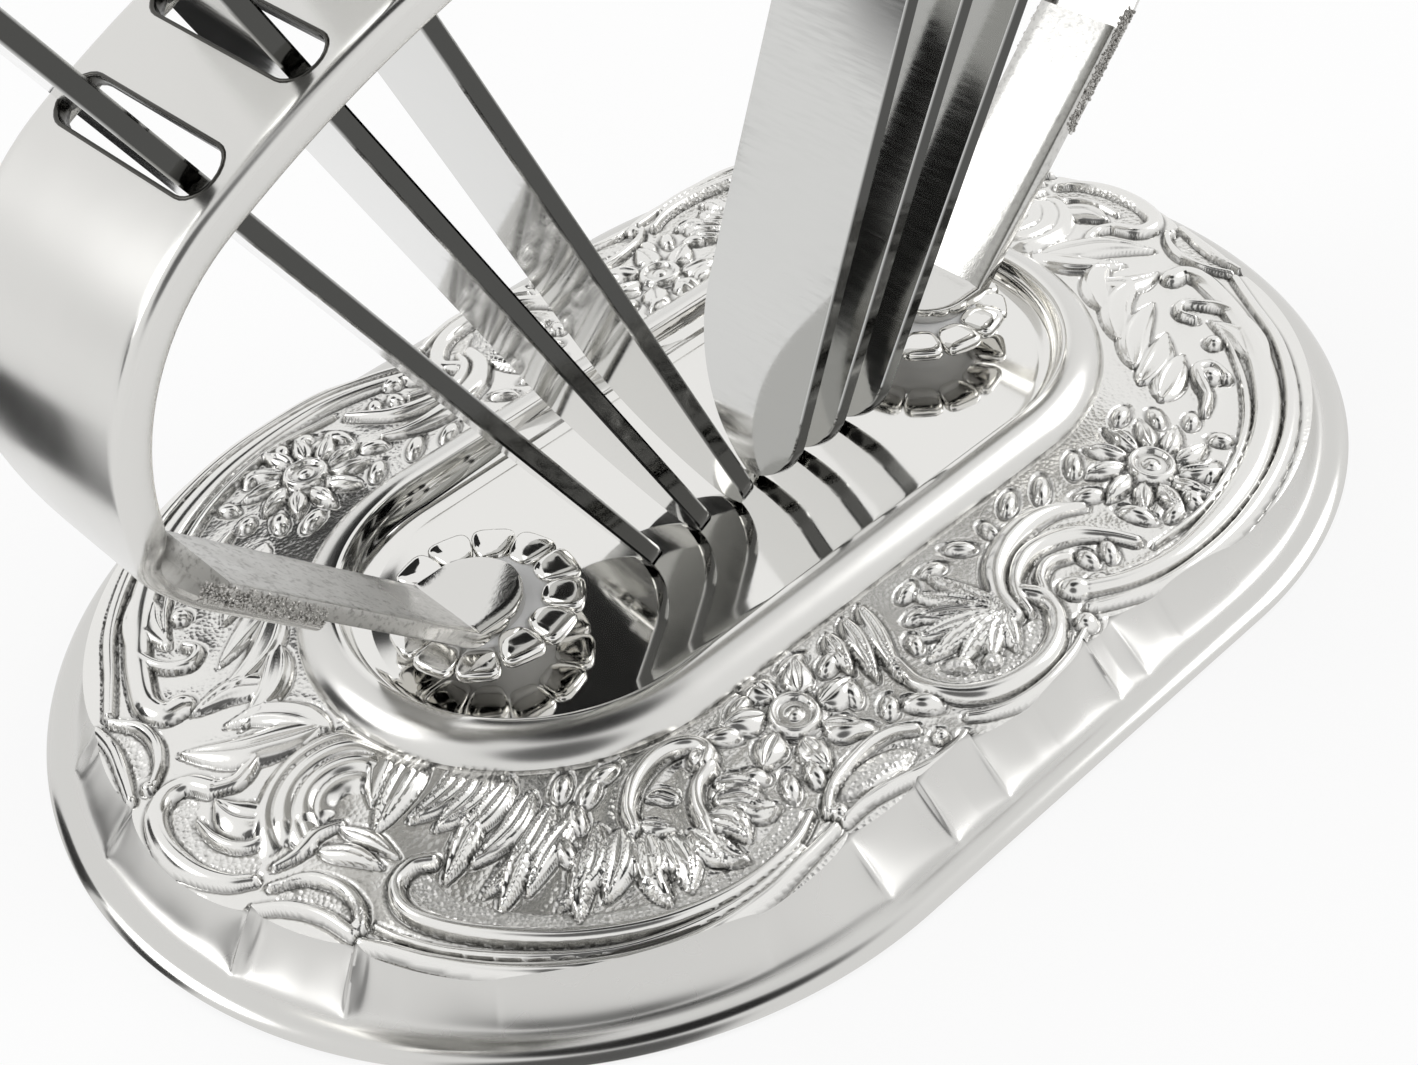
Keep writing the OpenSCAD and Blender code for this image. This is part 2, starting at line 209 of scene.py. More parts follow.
# %% [markdown]
# The arms were heated when they were soldered to the hoop, and the plate there stayed dull:
# grey and stained. The tab, which is rubbed when the stand is cleaned, kept its mirror, and
# the right arm most of its polish, so an attribute says how far the strip is worn. The solder
# itself is a rough grey seam.


# %% Silver plate dulled by heat, and solder
def dull_plate(name, clean, dulled, low, high):
    """Plate that has lost its buffing: cloudy grey, stains of about 0.7 mm, a broad highlight."""
    made, tree, place = new_material(name)
    worn = attribute(tree, "worn")
    stain = noise(tree, place, 1500.0, 5.0, 0.7)
    dirt = maths(tree, "MULTIPLY", ranged(tree, stain, 0.5, 0.7), worn)
    tone = mixed(tree, dirt, mixed(tree, worn, clean, dulled), "7C7A77")
    cloud = ranged(tree, noise(tree, place, 300.0, 4.0), 0.3, 0.7, low, high)
    rough = maths(tree, "MULTIPLY_ADD", cloud, worn, 0.05)
    bare_metal(tree, tone, rough, bumped(tree, stain, 0.06, 0.0002))
    return made


DULL = dull_plate("silver_plate_dulled", "D8D7D4", "BDBCB9", 0.22, 0.36)
SOLDER = dull_plate("soft_solder", "B5B3AF", "B5B3AF", 0.25, 0.5)


# %% [markdown]
# The blades are stainless steel, ground flat and mirror polished. Their colour is a little
# darker than silver, and the grinding leaves hairlines across the blade.


# %% Stainless steel and brass
def mirror_steel():
    """Stainless steel, mirror polished: hairlines 0.3 mm apart that barely blur the mirror."""
    made, tree, place = new_material("stainless_steel_mirror")
    across = add(tree, "ShaderNodeMapping", {"Vector": place, "Scale": (2.0, 0.15, 2.0)}).outputs["Vector"]
    rough = ranged(tree, noise(tree, across, 1600.0), 0.35, 0.65, 0.05, 0.1)
    # The back of the blade is painted dark, as painted reflection of the dark things it faces.
    tone = mixed(tree, attribute(tree, "spine"), "D0D0CE", "4E4E4C")
    bare_metal(tree, tone, rough, bumped(tree, noise(tree, place, 60.0, 1.0), 0.06, 0.0005))
    return made


def turned_brass():
    """Turned brass: warm yellow, its shine uneven in spots of about 0.8 mm."""
    made, tree, place = new_material("brass_turned")
    bare_metal(tree, linear("C9A35C"), ranged(tree, noise(tree, place, 1200.0), 0.0, 1.0, 0.2, 0.42))
    return made


STEEL = mirror_steel()
BRASS = turned_brass()

# %% [markdown]
# ## The oval
# The base is a long round: two half circles about centres 22.7 mm either side of the middle,
# joined by straights. Every ring of the pressing keeps the same centres, so a point is given
# by its place round the oval and its distance from the line between the centres.

# %% Places round the oval
# Centres of the round ends; radii of the bead, of the border's middle and of its mean outer edge.
END_X, BEAD_R, MIDDLE_R, EDGE_R = 22.7, 22.7, 34.0, 41.0
# Heights of the well's floor and of the border at the bead, and the fall of the border in 20 mm.
FLOOR, BEAD_Z, BORDER_FALL = 6.6, 7.5, 2.1


def oval(count):
    """Centre points and outward directions at count places, evenly spaced on the border."""
    straight, half_turn = 2 * END_X, math.pi * MIDDLE_R
    n_straight = round(count * straight / (2 * straight + 2 * half_turn))
    n_turn = count // 2 - n_straight
    turn = np.linspace(-math.pi / 2, math.pi / 2, n_turn, endpoint=False)
    line = np.linspace(END_X, -END_X, n_straight, endpoint=False)
    centre = np.concatenate([np.stack([np.full(n_turn, END_X), np.zeros(n_turn)], 1),
                             np.stack([line, np.zeros(n_straight)], 1)])
    out = np.concatenate([np.stack([np.cos(turn), np.sin(turn)], 1),
                          np.stack([np.zeros(n_straight), np.ones(n_straight)], 1)])
    return np.concatenate([centre, -centre]), np.concatenate([out, -out])


def oval_distance(x, y):
    return np.hypot(np.maximum(np.abs(x) - END_X, 0), y)


def border_level(r):
    """The plain border falls from the bead to its outer edge."""
    return BEAD_Z - (r - BEAD_R) / 20 * BORDER_FALL


# %% [markdown]
# ## The relief of the border
# The press work repeats end for end: C scrolls, S scrolls, acanthus leaves, shells and two
# flowers on each long side. Carving it by hand would take days, so each ornament is a small
# height rule: a stroke is a rounded rod along a smooth line, a leaf is a pointed stroke with
# ribs, a flower is petals about a boss. The highest rule wins at every point of the border.


# %% Height rules
class Relief:
    """Collects heights in mm on a set of points; each ornament is drawn twice, end for end."""

    def __init__(self, x, y):
        self.x, self.y = x, y
        self.height = np.zeros(len(x))
        self.stipple = np.zeros(len(x))
        self.groove = np.zeros(len(x))

    def near(self, turn, low, high):
        x, y = self.x * turn, self.y * turn
        found = np.nonzero((x > low[0]) & (x < high[0]) & (y > low[1]) & (y < high[1]))[0]
        return found, x[found], y[found]

    def lift(self, found, value):
        self.height[found] = np.maximum(self.height[found], value)

    def engrave(self, found, beyond):
        """A fine line just outside a form, where the punch bit into the ground; it is also painted dark as painted
        shade.
        """
        line = np.exp(-((beyond - 0.14) / 0.16) ** 2)
        self.groove[found] = np.maximum(self.groove[found], line)

    def line(self, points, reach, rule):
        """Calls rule(found, distance, place along 0 to 1) for the points near a smooth line."""
        path = smooth_line(points)
        low, high = path.min(0) - reach, path.max(0) + reach
        for turn in (1, -1):
            found, x, y = self.near(turn, low, high)
            if len(found):
                rule(found, *line_distance(path, x, y))

    def scroll(self, points, wide, high, start=1.0, end=1.0):
        """A rounded rod; start and end thin it towards its two ends."""
        def rule(found, d, t):
            taper = np.interp(t, [0, 0.35, 0.65, 1], [start, 1, 1, end])
            half = wide * taper
            bow = np.clip(1 - np.abs(d / half) ** 2.4, 0, 1) ** 0.7
            self.lift(found, high * (0.5 + 0.5 * taper) * bow)
            self.engrave(found, d - half)
        self.line(points, wide + 0.6, rule)

    def leaf(self, points, wide, high, ribs=2):
        """A pointed leaf with a vein and ribs, thickest half of the way out."""
        def rule(found, d, t):
            half = wide * np.sin(np.pi * np.clip(t, 0, 1) ** 0.75) ** 0.8 + 0.05
            across = np.clip(d / half, 0, 1)
            body = (1 - across ** 2.2) ** 0.7 * (0.5 + 0.5 * np.sin(np.pi * t * 0.92))
            fluted = 0.34 * np.abs(np.sin(ribs * np.pi * across)) ** 1.5 * (ribs > 1)
            rib = 1 - fluted - 0.4 * np.exp(-(across / 0.14) ** 2)
            self.lift(found, high * body * rib)
            self.engrave(found, d - half)
        self.line(points, wide + 0.6, rule)

    def dome(self, x, y, radius, high, long=1.0, angle=0.0):
        """A round or oval boss with a flat crown."""
        c, s = math.cos(math.radians(angle)), math.sin(math.radians(angle))
        reach = radius * max(long, 1) + 0.6
        for turn in (1, -1):
            found, px, py = self.near(turn, (x - reach, y - reach), (x + reach, y + reach))
            u = ((px - x) * c + (py - y) * s) / (radius * long)
            v = (-(px - x) * s + (py - y) * c) / radius
            rho = np.hypot(u, v)
            self.lift(found, high * 0.78 * np.clip(1 - rho ** 2.6, 0, 1) ** 0.75)
            self.engrave(found, (rho - 1) * radius)

    def fan(self, x, y, inner, outer, begin, end, count, high, rings=False):
        """A shell: flutes that spread from a point, or ribs that run round it."""
        for turn in (1, -1):
            found, px, py = self.near(turn, (x - outer, y - outer), (x + outer, y + outer))
            rho = np.hypot(px - x, py - y)
            a = (np.degrees(np.arctan2(py - y, px - x)) - begin) % 360
            span = end - begin
            u, v = a / span, (rho - inner) / (outer - inner)
            inside = (u > 0) & (u < 1) & (v > 0) & (v < 1)
            wave = np.abs(np.sin(np.pi * count * (v if rings else u))) ** 0.7
            fade = np.clip(np.minimum(u, 1 - u) * 9, 0, 1) * np.clip(np.minimum(v * 3, (1 - v) * 6), 0, 1)
            self.lift(found, np.where(inside, high * (0.45 + 0.55 * wave) * fade ** 0.6, 0))

    def flower(self, x, y, radius, petals, turn=0.0):
        """Petals about a ringed boss."""
        self.dome(x, y, radius * 0.6, 0.55)
        ring = [(x + radius * 0.42 * math.cos(a), y + radius * 0.42 * math.sin(a)) for a in np.linspace(0, 6.2832, 13)]
        self.scroll(ring, 0.42, 1.15)
        self.dome(x, y, radius * 0.2, 1.3)
        for i in range(petals):
            a = math.radians(turn + i * 360 / petals)
            c, s = math.cos(a), math.sin(a)
            petal = [(x + radius * (r * c - k * s), y + radius * (r * s + k * c))
                     for r, k in ((0.55, -0.05), (0.95, 0.02), (1.4, 0.14))]
            self.leaf(petal, radius * min(0.31, 2.3 / petals), 1.25, 1)

    def ground(self, points, wide):
        """Marks a band of punched ground."""
        def rule(found, d, t):
            self.stipple[found] = np.maximum(self.stipple[found], np.clip((wide - d) / 0.3, 0, 1))
        self.line(points, wide + 0.3, rule)


def smooth_line(points, steps=8):
    """A Catmull-Rom line through the points."""
    p = np.asarray(points, float)
    p = np.vstack([2 * p[0] - p[1], p, 2 * p[-1] - p[-2]])
    t = np.linspace(0, 1, steps, endpoint=False)[:, None]
    made = [0.5 * (2 * b + (c - a) * t + (2 * a - 5 * b + 4 * c - d) * t ** 2 + (3 * b - a - 3 * c + d) * t ** 3)
            for a, b, c, d in zip(p, p[1:], p[2:], p[3:])]
    return np.vstack(made + [p[-2:-1]])


def line_distance(path, x, y):
    """Distance to the path, and place along it from 0 to 1."""
    a, b = path[:-1], path[1:]
    length = np.hypot(*(b - a).T)
    start = np.concatenate([[0], np.cumsum(length)])
    best = np.full(len(x), 1e9)
    place = np.zeros(len(x))
    for i in range(len(a)):
        e = b[i] - a[i]
        u = np.clip(((x - a[i, 0]) * e[0] + (y - a[i, 1]) * e[1]) / max(length[i] ** 2, 1e-9), 0, 1)
        d = np.hypot(x - a[i, 0] - u * e[0], y - a[i, 1] - u * e[1])
        closer = d < best
        best = np.where(closer, d, best)
        place = np.where(closer, (start[i] + u * length[i]) / start[-1], place)
    return best, place


# %% [markdown]
# The drawing of the ornament, in millimetres on the plan of the base. It runs round one half,
# from the volute at the left end along the near side to the great scroll at the right end.


# %% Draw the ornament
def left_end(art):
    art.scroll([(-57.4, 3.6), (-58.4, 5.5), (-60.3, 6.1), (-62.2, 5.1), (-63.3, 2.9), (-63.7, 0), (-63.3, -3),
                (-62.1, -5.6), (-60.6, -7)], 1.05, 1.3, 0.9, 0.6)
    art.ground([(-59.8, 3.8), (-61.4, 2), (-61.9, -0.5), (-61.3, -3.4), (-60, -5.4)], 1.2)
    art.leaf([(-56.2, -3.2), (-57.8, -0.8), (-58.0, 2.2)], 1.9, 1.15, 1)
    art.scroll([(-60.2, 1.6), (-60.3, -1), (-59.6, -3.2), (-58.2, -4.4), (-56.6, -4.0)], 0.5, 0.9, 0.6, 0.6)
    art.leaf([(-47.2, 1.3), (-50.5, 3.0), (-53.8, 5.2), (-57.0, 9.2)], 1.9, 1.1, 1)
    art.leaf([(-46.6, 0.6), (-47.6, 4.0), (-49.6, 6.8), (-52.4, 8.6)], 1.5, 1.2, 2)
    art.leaf([(-46.9, 8.8), (-49.6, 11.5), (-53.6, 12.2)], 1.5, 0.9, 1)
    art.scroll([(-57.2, 3.2), (-55.6, 2.4), (-54.2, 2.6), (-52.6, 3.0)], 0.7, 1.1, 1, 0.4)
    art.fan(-50.6, -7.4, 1.2, 8.4, 8, 172, 4, 1.2, rings=True)
    art.leaf([(-42.6, -7.4), (-46.6, -9.2), (-51.0, -11.2)], 1.7, 1.15, 3)
    art.leaf([(-43.4, -4.2), (-46.4, -6.4), (-49.4, -8.8)], 1.5, 1.1, 2)
    art.leaf([(-55.8, -8.6), (-54.6, -5.6), (-52.8, -3.2)], 1.3, 0.9, 1)
    art.scroll([(-58.6, -7.4), (-56.6, -7.9), (-54.2, -7.7), (-52.2, -8.4)], 0.55, 0.95, 0.5, 0.5)
    art.leaf([(-55.2, -9.0), (-53.6, -11.4), (-52.6, -14.4)], 0.9, 0.9, 1)
    art.leaf([(-52.6, -8.6), (-51.6, -11.6), (-51.2, -14.6)], 0.8, 0.9, 1)
    # Small shell lobe with its rim.
    art.scroll([(-62.2, -9.4), (-60.2, -11.6), (-58.8, -14.4), (-58.3, -17.6)], 0.65, 1.1, 0.7, 0.8)
    art.scroll([(-60.0, -8.8), (-57.4, -10.6), (-56.2, -13.2), (-56.3, -15.8), (-57.4, -17.6)], 0.6, 1.15, 0.5, 0.9)
    art.ground([(-59.4, -10.4), (-57.9, -12.8), (-57.3, -16)], 1.1)
    art.dome(-57.6, -17.5, 0.75, 1.2)


def cartouche(art):
    art.scroll([(-49.6, -17.2), (-51.0, -16.3), (-53.0, -16.7), (-54.0, -18.5), (-53.8, -20.8), (-52.3, -24),
                (-50, -27.3), (-47, -30.7), (-43.5, -33.6), (-40, -35.7), (-36, -37.1), (-32, -37.7), (-28, -37.5),
                (-25.2, -36.5)], 0.8, 1.55, 0.8, 0.6)
    art.scroll([(-58.4, -18.8), (-57.2, -21), (-55.6, -24.3), (-53, -28.3), (-50, -31.7), (-46.5, -34.7),
                (-42.5, -37.2), (-38, -38.8), (-33, -39.4), (-28.5, -39.1), (-24.6, -38.7)], 0.7, 1.1, 0.8, 0.7)
    art.scroll([(-56.6, -18.6), (-55.9, -21), (-54.3, -24.4), (-51.6, -28.2), (-48.4, -31.7), (-44.9, -34.6),
                (-41, -36.7), (-37, -38.0), (-32.5, -38.6), (-28, -38.3)], 0.45, 1.0, 0.7, 0.7)
    art.ground([(-51.4, -17.8), (-51.6, -21), (-49.8, -25), (-46.6, -29.3), (-42.4, -32.9), (-38, -35.2),
                (-33, -36.3), (-28, -36), (-25.8, -34.6)], 1.1)
    for root, tip in [((-40.6, -11.6), (-48.6, -12.6)), ((-40.2, -13.4), (-49.2, -15.2)),
                      ((-39.8, -15.8), (-49.8, -17.6)), ((-39.6, -18.2), (-49.8, -20.2)),
                      ((-39.2, -20.4), (-49.6, -23.0)), ((-38.8, -22.6), (-48.2, -25.9)),
                      ((-38.0, -24.6), (-46.4, -28.6)), ((-37.0, -26.4), (-43.8, -31.4)),
                      ((-36.0, -28.2), (-40.6, -33.6)), ((-34.8, -29.6), (-37.2, -34.9)),
                      ((-33.2, -30.6), (-33.6, -35.6)), ((-31.4, -30.6), (-30.2, -35.6)),
                      ((-29.8, -29.8), (-27.0, -34.8)), ((-28.6, -28.6), (-25.6, -32.4))]:
        # No two leaves are alike: length, bend and width follow a number made from the place.
        number = round(root[0] * 7 + tip[1] * 3)
        short = 0.9 + 0.1 * math.cos(number * 1.7)
        bend = 0.07 + 0.1 * math.sin(number * 1.3)
        wide = 1.4 + 0.35 * math.sin(number * 2.4)
        end = (root[0] + (tip[0] - root[0]) * short, root[1] + (tip[1] - root[1]) * short)
        middle = ((root[0] + end[0]) / 2 + (root[1] - end[1]) * bend,
                  (root[1] + end[1]) / 2 - (root[0] - end[0]) * bend)
        art.leaf([root, middle, end], wide, 1.35 + 0.15 * math.cos(number), 3)
    for root, tip in [((-43.6, -16.2), (-50.2, -19.4)), ((-43.0, -21.4), (-48.8, -24.8)),
                      ((-40.6, -25.6), (-45.2, -30.2)), ((-37.4, -29.4), (-39.2, -34.6)),
                      ((-32.6, -32.2), (-31.8, -36.0)), ((-28.6, -31.4), (-26.2, -34.2))]:
        art.leaf([root, ((root[0] + tip[0]) / 2 - 0.4, (root[1] + tip[1]) / 2 - 0.4), tip], 1.1, 1.6, 2)
    for x, y, a in [(-37.6, -19.6, 35), (-36.4, -21.8, 20), (-38.8, -23.0, 60), (-34.2, -21.2, 0),
                    (-41.6, -24.6, 70)]:
        art.dome(x, y, 0.8, 1.3, 1.9, a)
    art.scroll([(-36.4, -27.4), (-35.4, -25.6), (-33.4, -24.1), (-31, -23.4), (-28.8, -23.5), (-27.1, -24.6),
                (-26.8, -26.2), (-28, -27)], 0.85, 1.7, 0.7, 0.9)
    art.dome(-27.9, -26.0, 0.9, 1.8)
    art.scroll([(-27.6, -27.4), (-29.6, -27.8), (-31.2, -29.4), (-32.2, -31.6), (-33.2, -33.8)], 0.7, 1.5, 1, 0.3)
    art.leaf([(-35.9, -27.2), (-35.0, -28.4), (-34.0, -29.8)], 0.8, 1.3, 1)
    art.leaf([(-31.6, -27.6), (-32.4, -26.2), (-33.6, -25.6)], 0.7, 0.8, 1)


def near_side(art):
    art.flower(-18.6, -28.3, 4.6, 7, 40)
    for x, y, long, a in [(-24.6, -25.6, 1.9, -40), (-21.4, -24.4, 1.8, 15), (-14.6, -24.0, 1.8, 0),
                          (-25.7, -30.4, 1.6, -50), (-24.2, -33.2, 1.8, 60), (-21.9, -33.8, 1.7, 75),
                          (-15.8, -33.0, 1.9, -40), (-13.2, -30.0, 1.7, 60), (-12.4, -26.4, 1.6, 20),
                          (-12.0, -33.2, 1.5, 45)]:
        art.dome(x, y, 0.85, 1.35, long, a)
    # Shell lobe by the outer edge.
    art.scroll([(-24.0, -37.2), (-22.2, -35.9), (-19.6, -35.2), (-16.6, -34.9), (-14, -35.3), (-12.2, -36.4)],
               0.6, 1.25, 0.8, 0.7)
    art.scroll([(-23.6, -38.8), (-20.6, -38.7), (-17.6, -39.2), (-14.6, -39.9), (-11.6, -40.1), (-9.6, -39.7)],
               0.6, 1.15, 0.7, 0.7)
    art.ground([(-21.8, -37.2), (-18.4, -36.8), (-15, -37.4), (-13, -38)], 1.3)
    art.dome(-18.0, -37.2, 1.4, 0.8, 2.8, -6)
    art.dome(-23.3, -37.9, 0.85, 1.6)
    art.dome(-11.3, -38.4, 0.8, 1.5)
    art.dome(-9.8, -35.0, 0.95, 1.6, 1.9, -48)
    for line in [[(-5.4, -23.4), (-6.6, -26.3), (-8.0, -29.4), (-9.2, -32.0)],
                 [(-7.6, -23.5), (-8.9, -26.8), (-10.6, -30.6)], [(-10.0, -23.8), (-10.9, -26.2), (-11.6, -28.6)]]:
        art.leaf(line, 1.05, 1.35, 1)
    # Round shell in its C frame.
    art.scroll([(-8.0, -30.4), (-8.4, -33), (-7.5, -35.6), (-5.5, -37.7), (-2.6, -38.9), (1, -39.2), (4, -38.4),
                (6.2, -36.6), (7.0, -34.6), (6.2, -33)], 1.1, 1.35, 0.5, 0.8)
    art.scroll([(-8.0, -38.6), (-6.4, -39.7), (-3.6, -40.7), (0, -41.0), (3.6, -40.5), (6.4, -39.6)],
               0.55, 0.95, 0.7, 0.7)
    art.ground([(-5.6, -33.6), (-3.6, -36.2), (0.6, -37.2), (4, -36)], 1.0)
    for tip in [(1.6, -25.4), (-1.2, -25.8), (-3.6, -27.4), (-5.2, -29.6), (-5.8, -32.0), (-4.6, -34.4),
                (-2.2, -36.2), (0.6, -37.0)]:
        art.leaf([(3.4, -33.2), (tip[0] * 0.45 + 1.6, tip[1] * 0.45 - 18.0), tip], 1.15, 1.3, 3)
    for x, y, long, a in [(-4.2, -34.4, 1.9, -45), (-1.8, -36.0, 1.5, 0), (-2.6, -28.0, 1.7, -15),
                          (6.4, -25.2, 2.1, -45), (2.6, -25.2, 1.8, -20), (-1.0, -25.4, 1.8, 10),
                          (-5.2, -30.0, 1.5, 70), (10.0, -25.6, 1.6, 80)]:
        art.dome(x, y, 0.75, 1.2, long, a)
    # S scroll and its volute.
    art.scroll([(3.6, -34.2), (4.3, -31.6), (6.4, -29.3), (9.5, -28.0), (13, -27.6), (16.2, -28.3), (18.6, -29.8)],
               1.3, 1.45, 0.6, 0.3)
    art.scroll([(4.8, -34.8), (5.6, -32.6), (7.6, -31.0), (10.2, -30.2), (13, -30.6), (15.4, -31.8), (17.2, -33.8),
                (18.6, -36.0)], 0.9, 1.4, 0.5, 0.6)
    art.scroll([(7.4, -34.6), (8.6, -32.9), (10.6, -32.2), (12.6, -33.0)], 0.6, 1.3, 0.6, 0.7)
    art.dome(9.9, -35.7, 1.25, 1.8, 1.25, -45)
    art.dome(7.5, -39.0, 1.1, 1.5)
    for x, y, long, a in [(13.7, -34.2, 1.5, 95), (15.8, -35.0, 1.5, 60), (14.0, -24.6, 2.0, 30),
                          (17.6, -25.6, 2.2, 40), (12.2, -36.6, 1.3, -30)]:
        art.dome(x, y, 0.85, 1.35, long, a)
    art.flower(27.4, -31.0, 4.7, 11, 10)
    for x, y, long, a in [(20.2, -29.2, 1.8, -35), (21.4, -33.9, 2.2, -70), (24.0, -36.3, 1.4, 0),
                          (26.6, -36.5, 1.4, 70), (22.4, -25.6, 2.0, 40), (35.4, -33.2, 1.5, -60),
                          (33.4, -27.0, 1.7, 60), (31.2, -24.4, 1.8, 20), (35.6, -29.6, 1.4, 30),
                          (31.0, -35.4, 1.7, 25)]:
        art.dome(x, y, 0.85, 1.3, long, a)


def right_end(art):
    art.scroll([(9, -38.0), (12, -39.5), (16, -40.9), (20, -41.5), (25, -41.6), (30, -41.0), (36, -39.4), (42, -36.7),
                (47.5, -32.9), (52.5, -27.9), (56, -22.4), (58.6, -18.4)], 0.75, 1.15, 0.6, 0.7)
    art.scroll([(10.8, -36.6), (14, -38.2), (18, -39.4), (22, -39.7), (28, -39.2), (34, -37.8), (40, -35.2),
                (45, -31.8), (49.3, -27.6), (52.6, -23.0), (54.8, -18.8), (55.7, -16.2), (55.2, -14.2),
                (53.6, -13.8)], 1.35, 1.3, 0.6, 0.9)
    art.scroll([(19.4, -37.4), (26, -37.8), (33, -36.3), (39, -33.6), (44, -29.8), (47.6, -25.8), (49.6, -22.6)],
               0.45, 0.9, 0.5, 0.5)
    art.dome(55.2, -14.3, 0.95, 1.7)
    art.scroll([(48.6, -29.6), (51.2, -27.0), (52.7, -23.2), (52.3, -19.8), (50.4, -17.6), (48.8, -18.4),
                (49.2, -20)], 0.6, 1.25, 0.5, 0.8)
    art.leaf([(47.8, -28.2), (49.8, -25.0), (50.2, -21.2)], 1.4, 1.2, 2)
    art.dome(47.3, -23.7, 1.0, 1.6)
    art.scroll([(37.4, -29.8), (39.6, -28.6), (41.0, -26.6), (42.4, -25.4), (43.8, -26.2), (43.4, -28.2)],
               0.7, 1.35, 0.5, 0.9)
    art.dome(42.4, -27.0, 1.1, 1.7)
    for line in [[(36.6, -22.6), (40.6, -21.8), (45.2, -19.4)], [(38.2, -20.6), (42.6, -17.4), (48.6, -15.2)],
                 [(40.6, -17.0), (45.6, -12.8), (51.8, -11.4)], [(43.6, -12.6), (47.4, -8.6), (51.8, -7.0)],
                 [(36.0, -25.6), (39.6, -24.2), (43.4, -22.8)]]:
        art.leaf(line, 1.6, 1.2, 2)
    art.scroll([(60.3, -17.8), (60.6, -14.4), (61.7, -11), (62.7, -8.4)], 0.65, 1.1, 0.7, 0.7)
    art.scroll([(59.0, -17.6), (57.7, -14.8), (57.7, -12), (58.9, -9.6), (60.4, -8.2)], 0.6, 1.15, 0.7, 0.7)
    art.ground([(59.4, -16), (59.3, -13), (60.2, -10.4)], 1.0)
    art.dome(61.0, -8.2, 0.7, 1.4)


# %% [markdown]
# The outer edge of the border is not a plain oval: each scroll swells outwards and meets the
# next in a cusp, and from each cusp a crease runs down the cove to the flange. The edge is
# given by its cusps and the swell between them; the cove follows it down to the flat lip.


# %% Outer edge and creases
# Cusps of one half, as points on the plan, with the swell of the lobe that follows each.
CUSPS = [((-63.0, 7.6), 1.3), ((-62.3, -9.2), 0.3), ((-58.6, -18.5), 2.3), ((-24.2, -39.6), 0.5), ((-16.2, -40.0), 0.4),
         ((-9.6, -39.9), 1.5), ((5.6, -40.0), 0.7), ((9.6, -39.7), 2.6), ((60.0, -18.2), 0.5)]


def oval_place(x, y):
    """Distance round the oval at the border, from the right end, anticlockwise."""
    top, straight = EDGE_R * math.pi / 2, 2 * END_X
    total = 2 * straight + 2 * math.pi * EDGE_R
    right = EDGE_R * np.arctan2(y, x - END_X)
    upper_left = top + straight + EDGE_R * (np.arctan2(y, x + END_X) - math.pi / 2)
    lower_left = top + straight + EDGE_R * (math.pi / 2 + np.arctan2(-y, -(x + END_X)))
    upper = np.where(np.abs(x) <= END_X, top + END_X - x, np.where(x > 0, right, upper_left))
    lower = np.where(np.abs(x) <= END_X, 3 * top + straight + (x + END_X),
                     np.where(x < 0, lower_left, total + right))
    return np.where(y >= 0, upper, lower), total


def outer_edge(x, y):
    """Radius of the border's edge, and the distance to the nearest cusp."""
    place, total = oval_place(x, y)
    marks = []
    for (cx, cy), swell in CUSPS:
        for turn in (1, -1):
            at, _ = oval_place(np.array([cx * turn * 1.0]), np.array([cy * turn * 1.0]))
            marks.append((float(at[0]) % total, float(oval_distance(cx, cy)), swell))
    marks.sort()
    at = np.array([m[0] for m in marks])
    index = (np.searchsorted(at, place % total, side="right") - 1) % len(marks)
    following = (index + 1) % len(marks)
    span = (at[following] - at[index]) % total
    across = ((place - at[index]) % total) / span
    r0 = np.array([m[1] for m in marks])
    swell = np.array([m[2] for m in marks])
    bow = np.clip(1 - (2 * across - 1) ** 2, 0, 1) ** 0.6
    near = np.minimum(across, 1 - across) * span
    return r0[index] * (1 - across) + r0[following] * across + swell[index] * bow, near


# %% Build the border
def blurred(field, rounds):
    for _ in range(rounds):
        field = (field + np.roll(field, 1, 1) + np.roll(field, -1, 1)) / 3
        field = np.vstack([field[:1], (field[:-2] + field[1:-1] + field[2:]) / 3, field[-1:]])
    return field


AROUND, BORDER_ROWS, COVE_ROWS = 1760, 150, 22
centre, out = oval(AROUND)
edge_at = centre + out * EDGE_R
edge_r, from_cusp = outer_edge(edge_at[:, 0], edge_at[:, 1])
share = np.linspace(0, 1, BORDER_ROWS)
border_r = BEAD_R + (edge_r[None, :] - BEAD_R) * share[:, None]
border_x = centre[None, :, 0] + border_r * out[None, :, 0]
border_y = centre[None, :, 1] + border_r * out[None, :, 1]
art = Relief(border_x.ravel(), border_y.ravel())
left_end(art)
cartouche(art)
near_side(art)
right_end(art)
height = art.height.reshape(border_r.shape)
groove = art.groove.reshape(border_r.shape) * np.clip(1 - height / 0.35, 0, 1)
height = height * np.clip(share * 14, 0, 1)[:, None]
# The forms swell out of the ground: half of the height is a soft, wide rise.
border_z = border_level(border_r) - 0.45 + 0.62 * height + 0.55 * blurred(height, 60) - 0.18 * groove
border_z[0] = border_level(border_r[0])
print("relief height in mm:", round(float(height.max()), 2), "points:", height.size)

# %% [markdown]
# Painted shade darkens the relief where it is lower than what lies round it. A blurred copy of
# the height tells which points these are, and the result is kept on the mesh as an attribute.


# %% Hollows, cove and lip
# Painted shade: darker in the hollows, along the fine lines round the forms, and on the row at the bead.
hollow = np.clip((blurred(height, 12) - height - 0.1) / 0.6, 0, 0.5) + 0.4 * groove
bare = np.clip(1 - height / 0.25, 0, 1)
stipple = np.maximum(art.stipple.reshape(height.shape), 0.18 * bare)
hollow[0] = 0.5
LIP_FOOT, LIP_EDGE = 44.7, 47.3
u = np.linspace(0, 1, COVE_ROWS)[:, None]
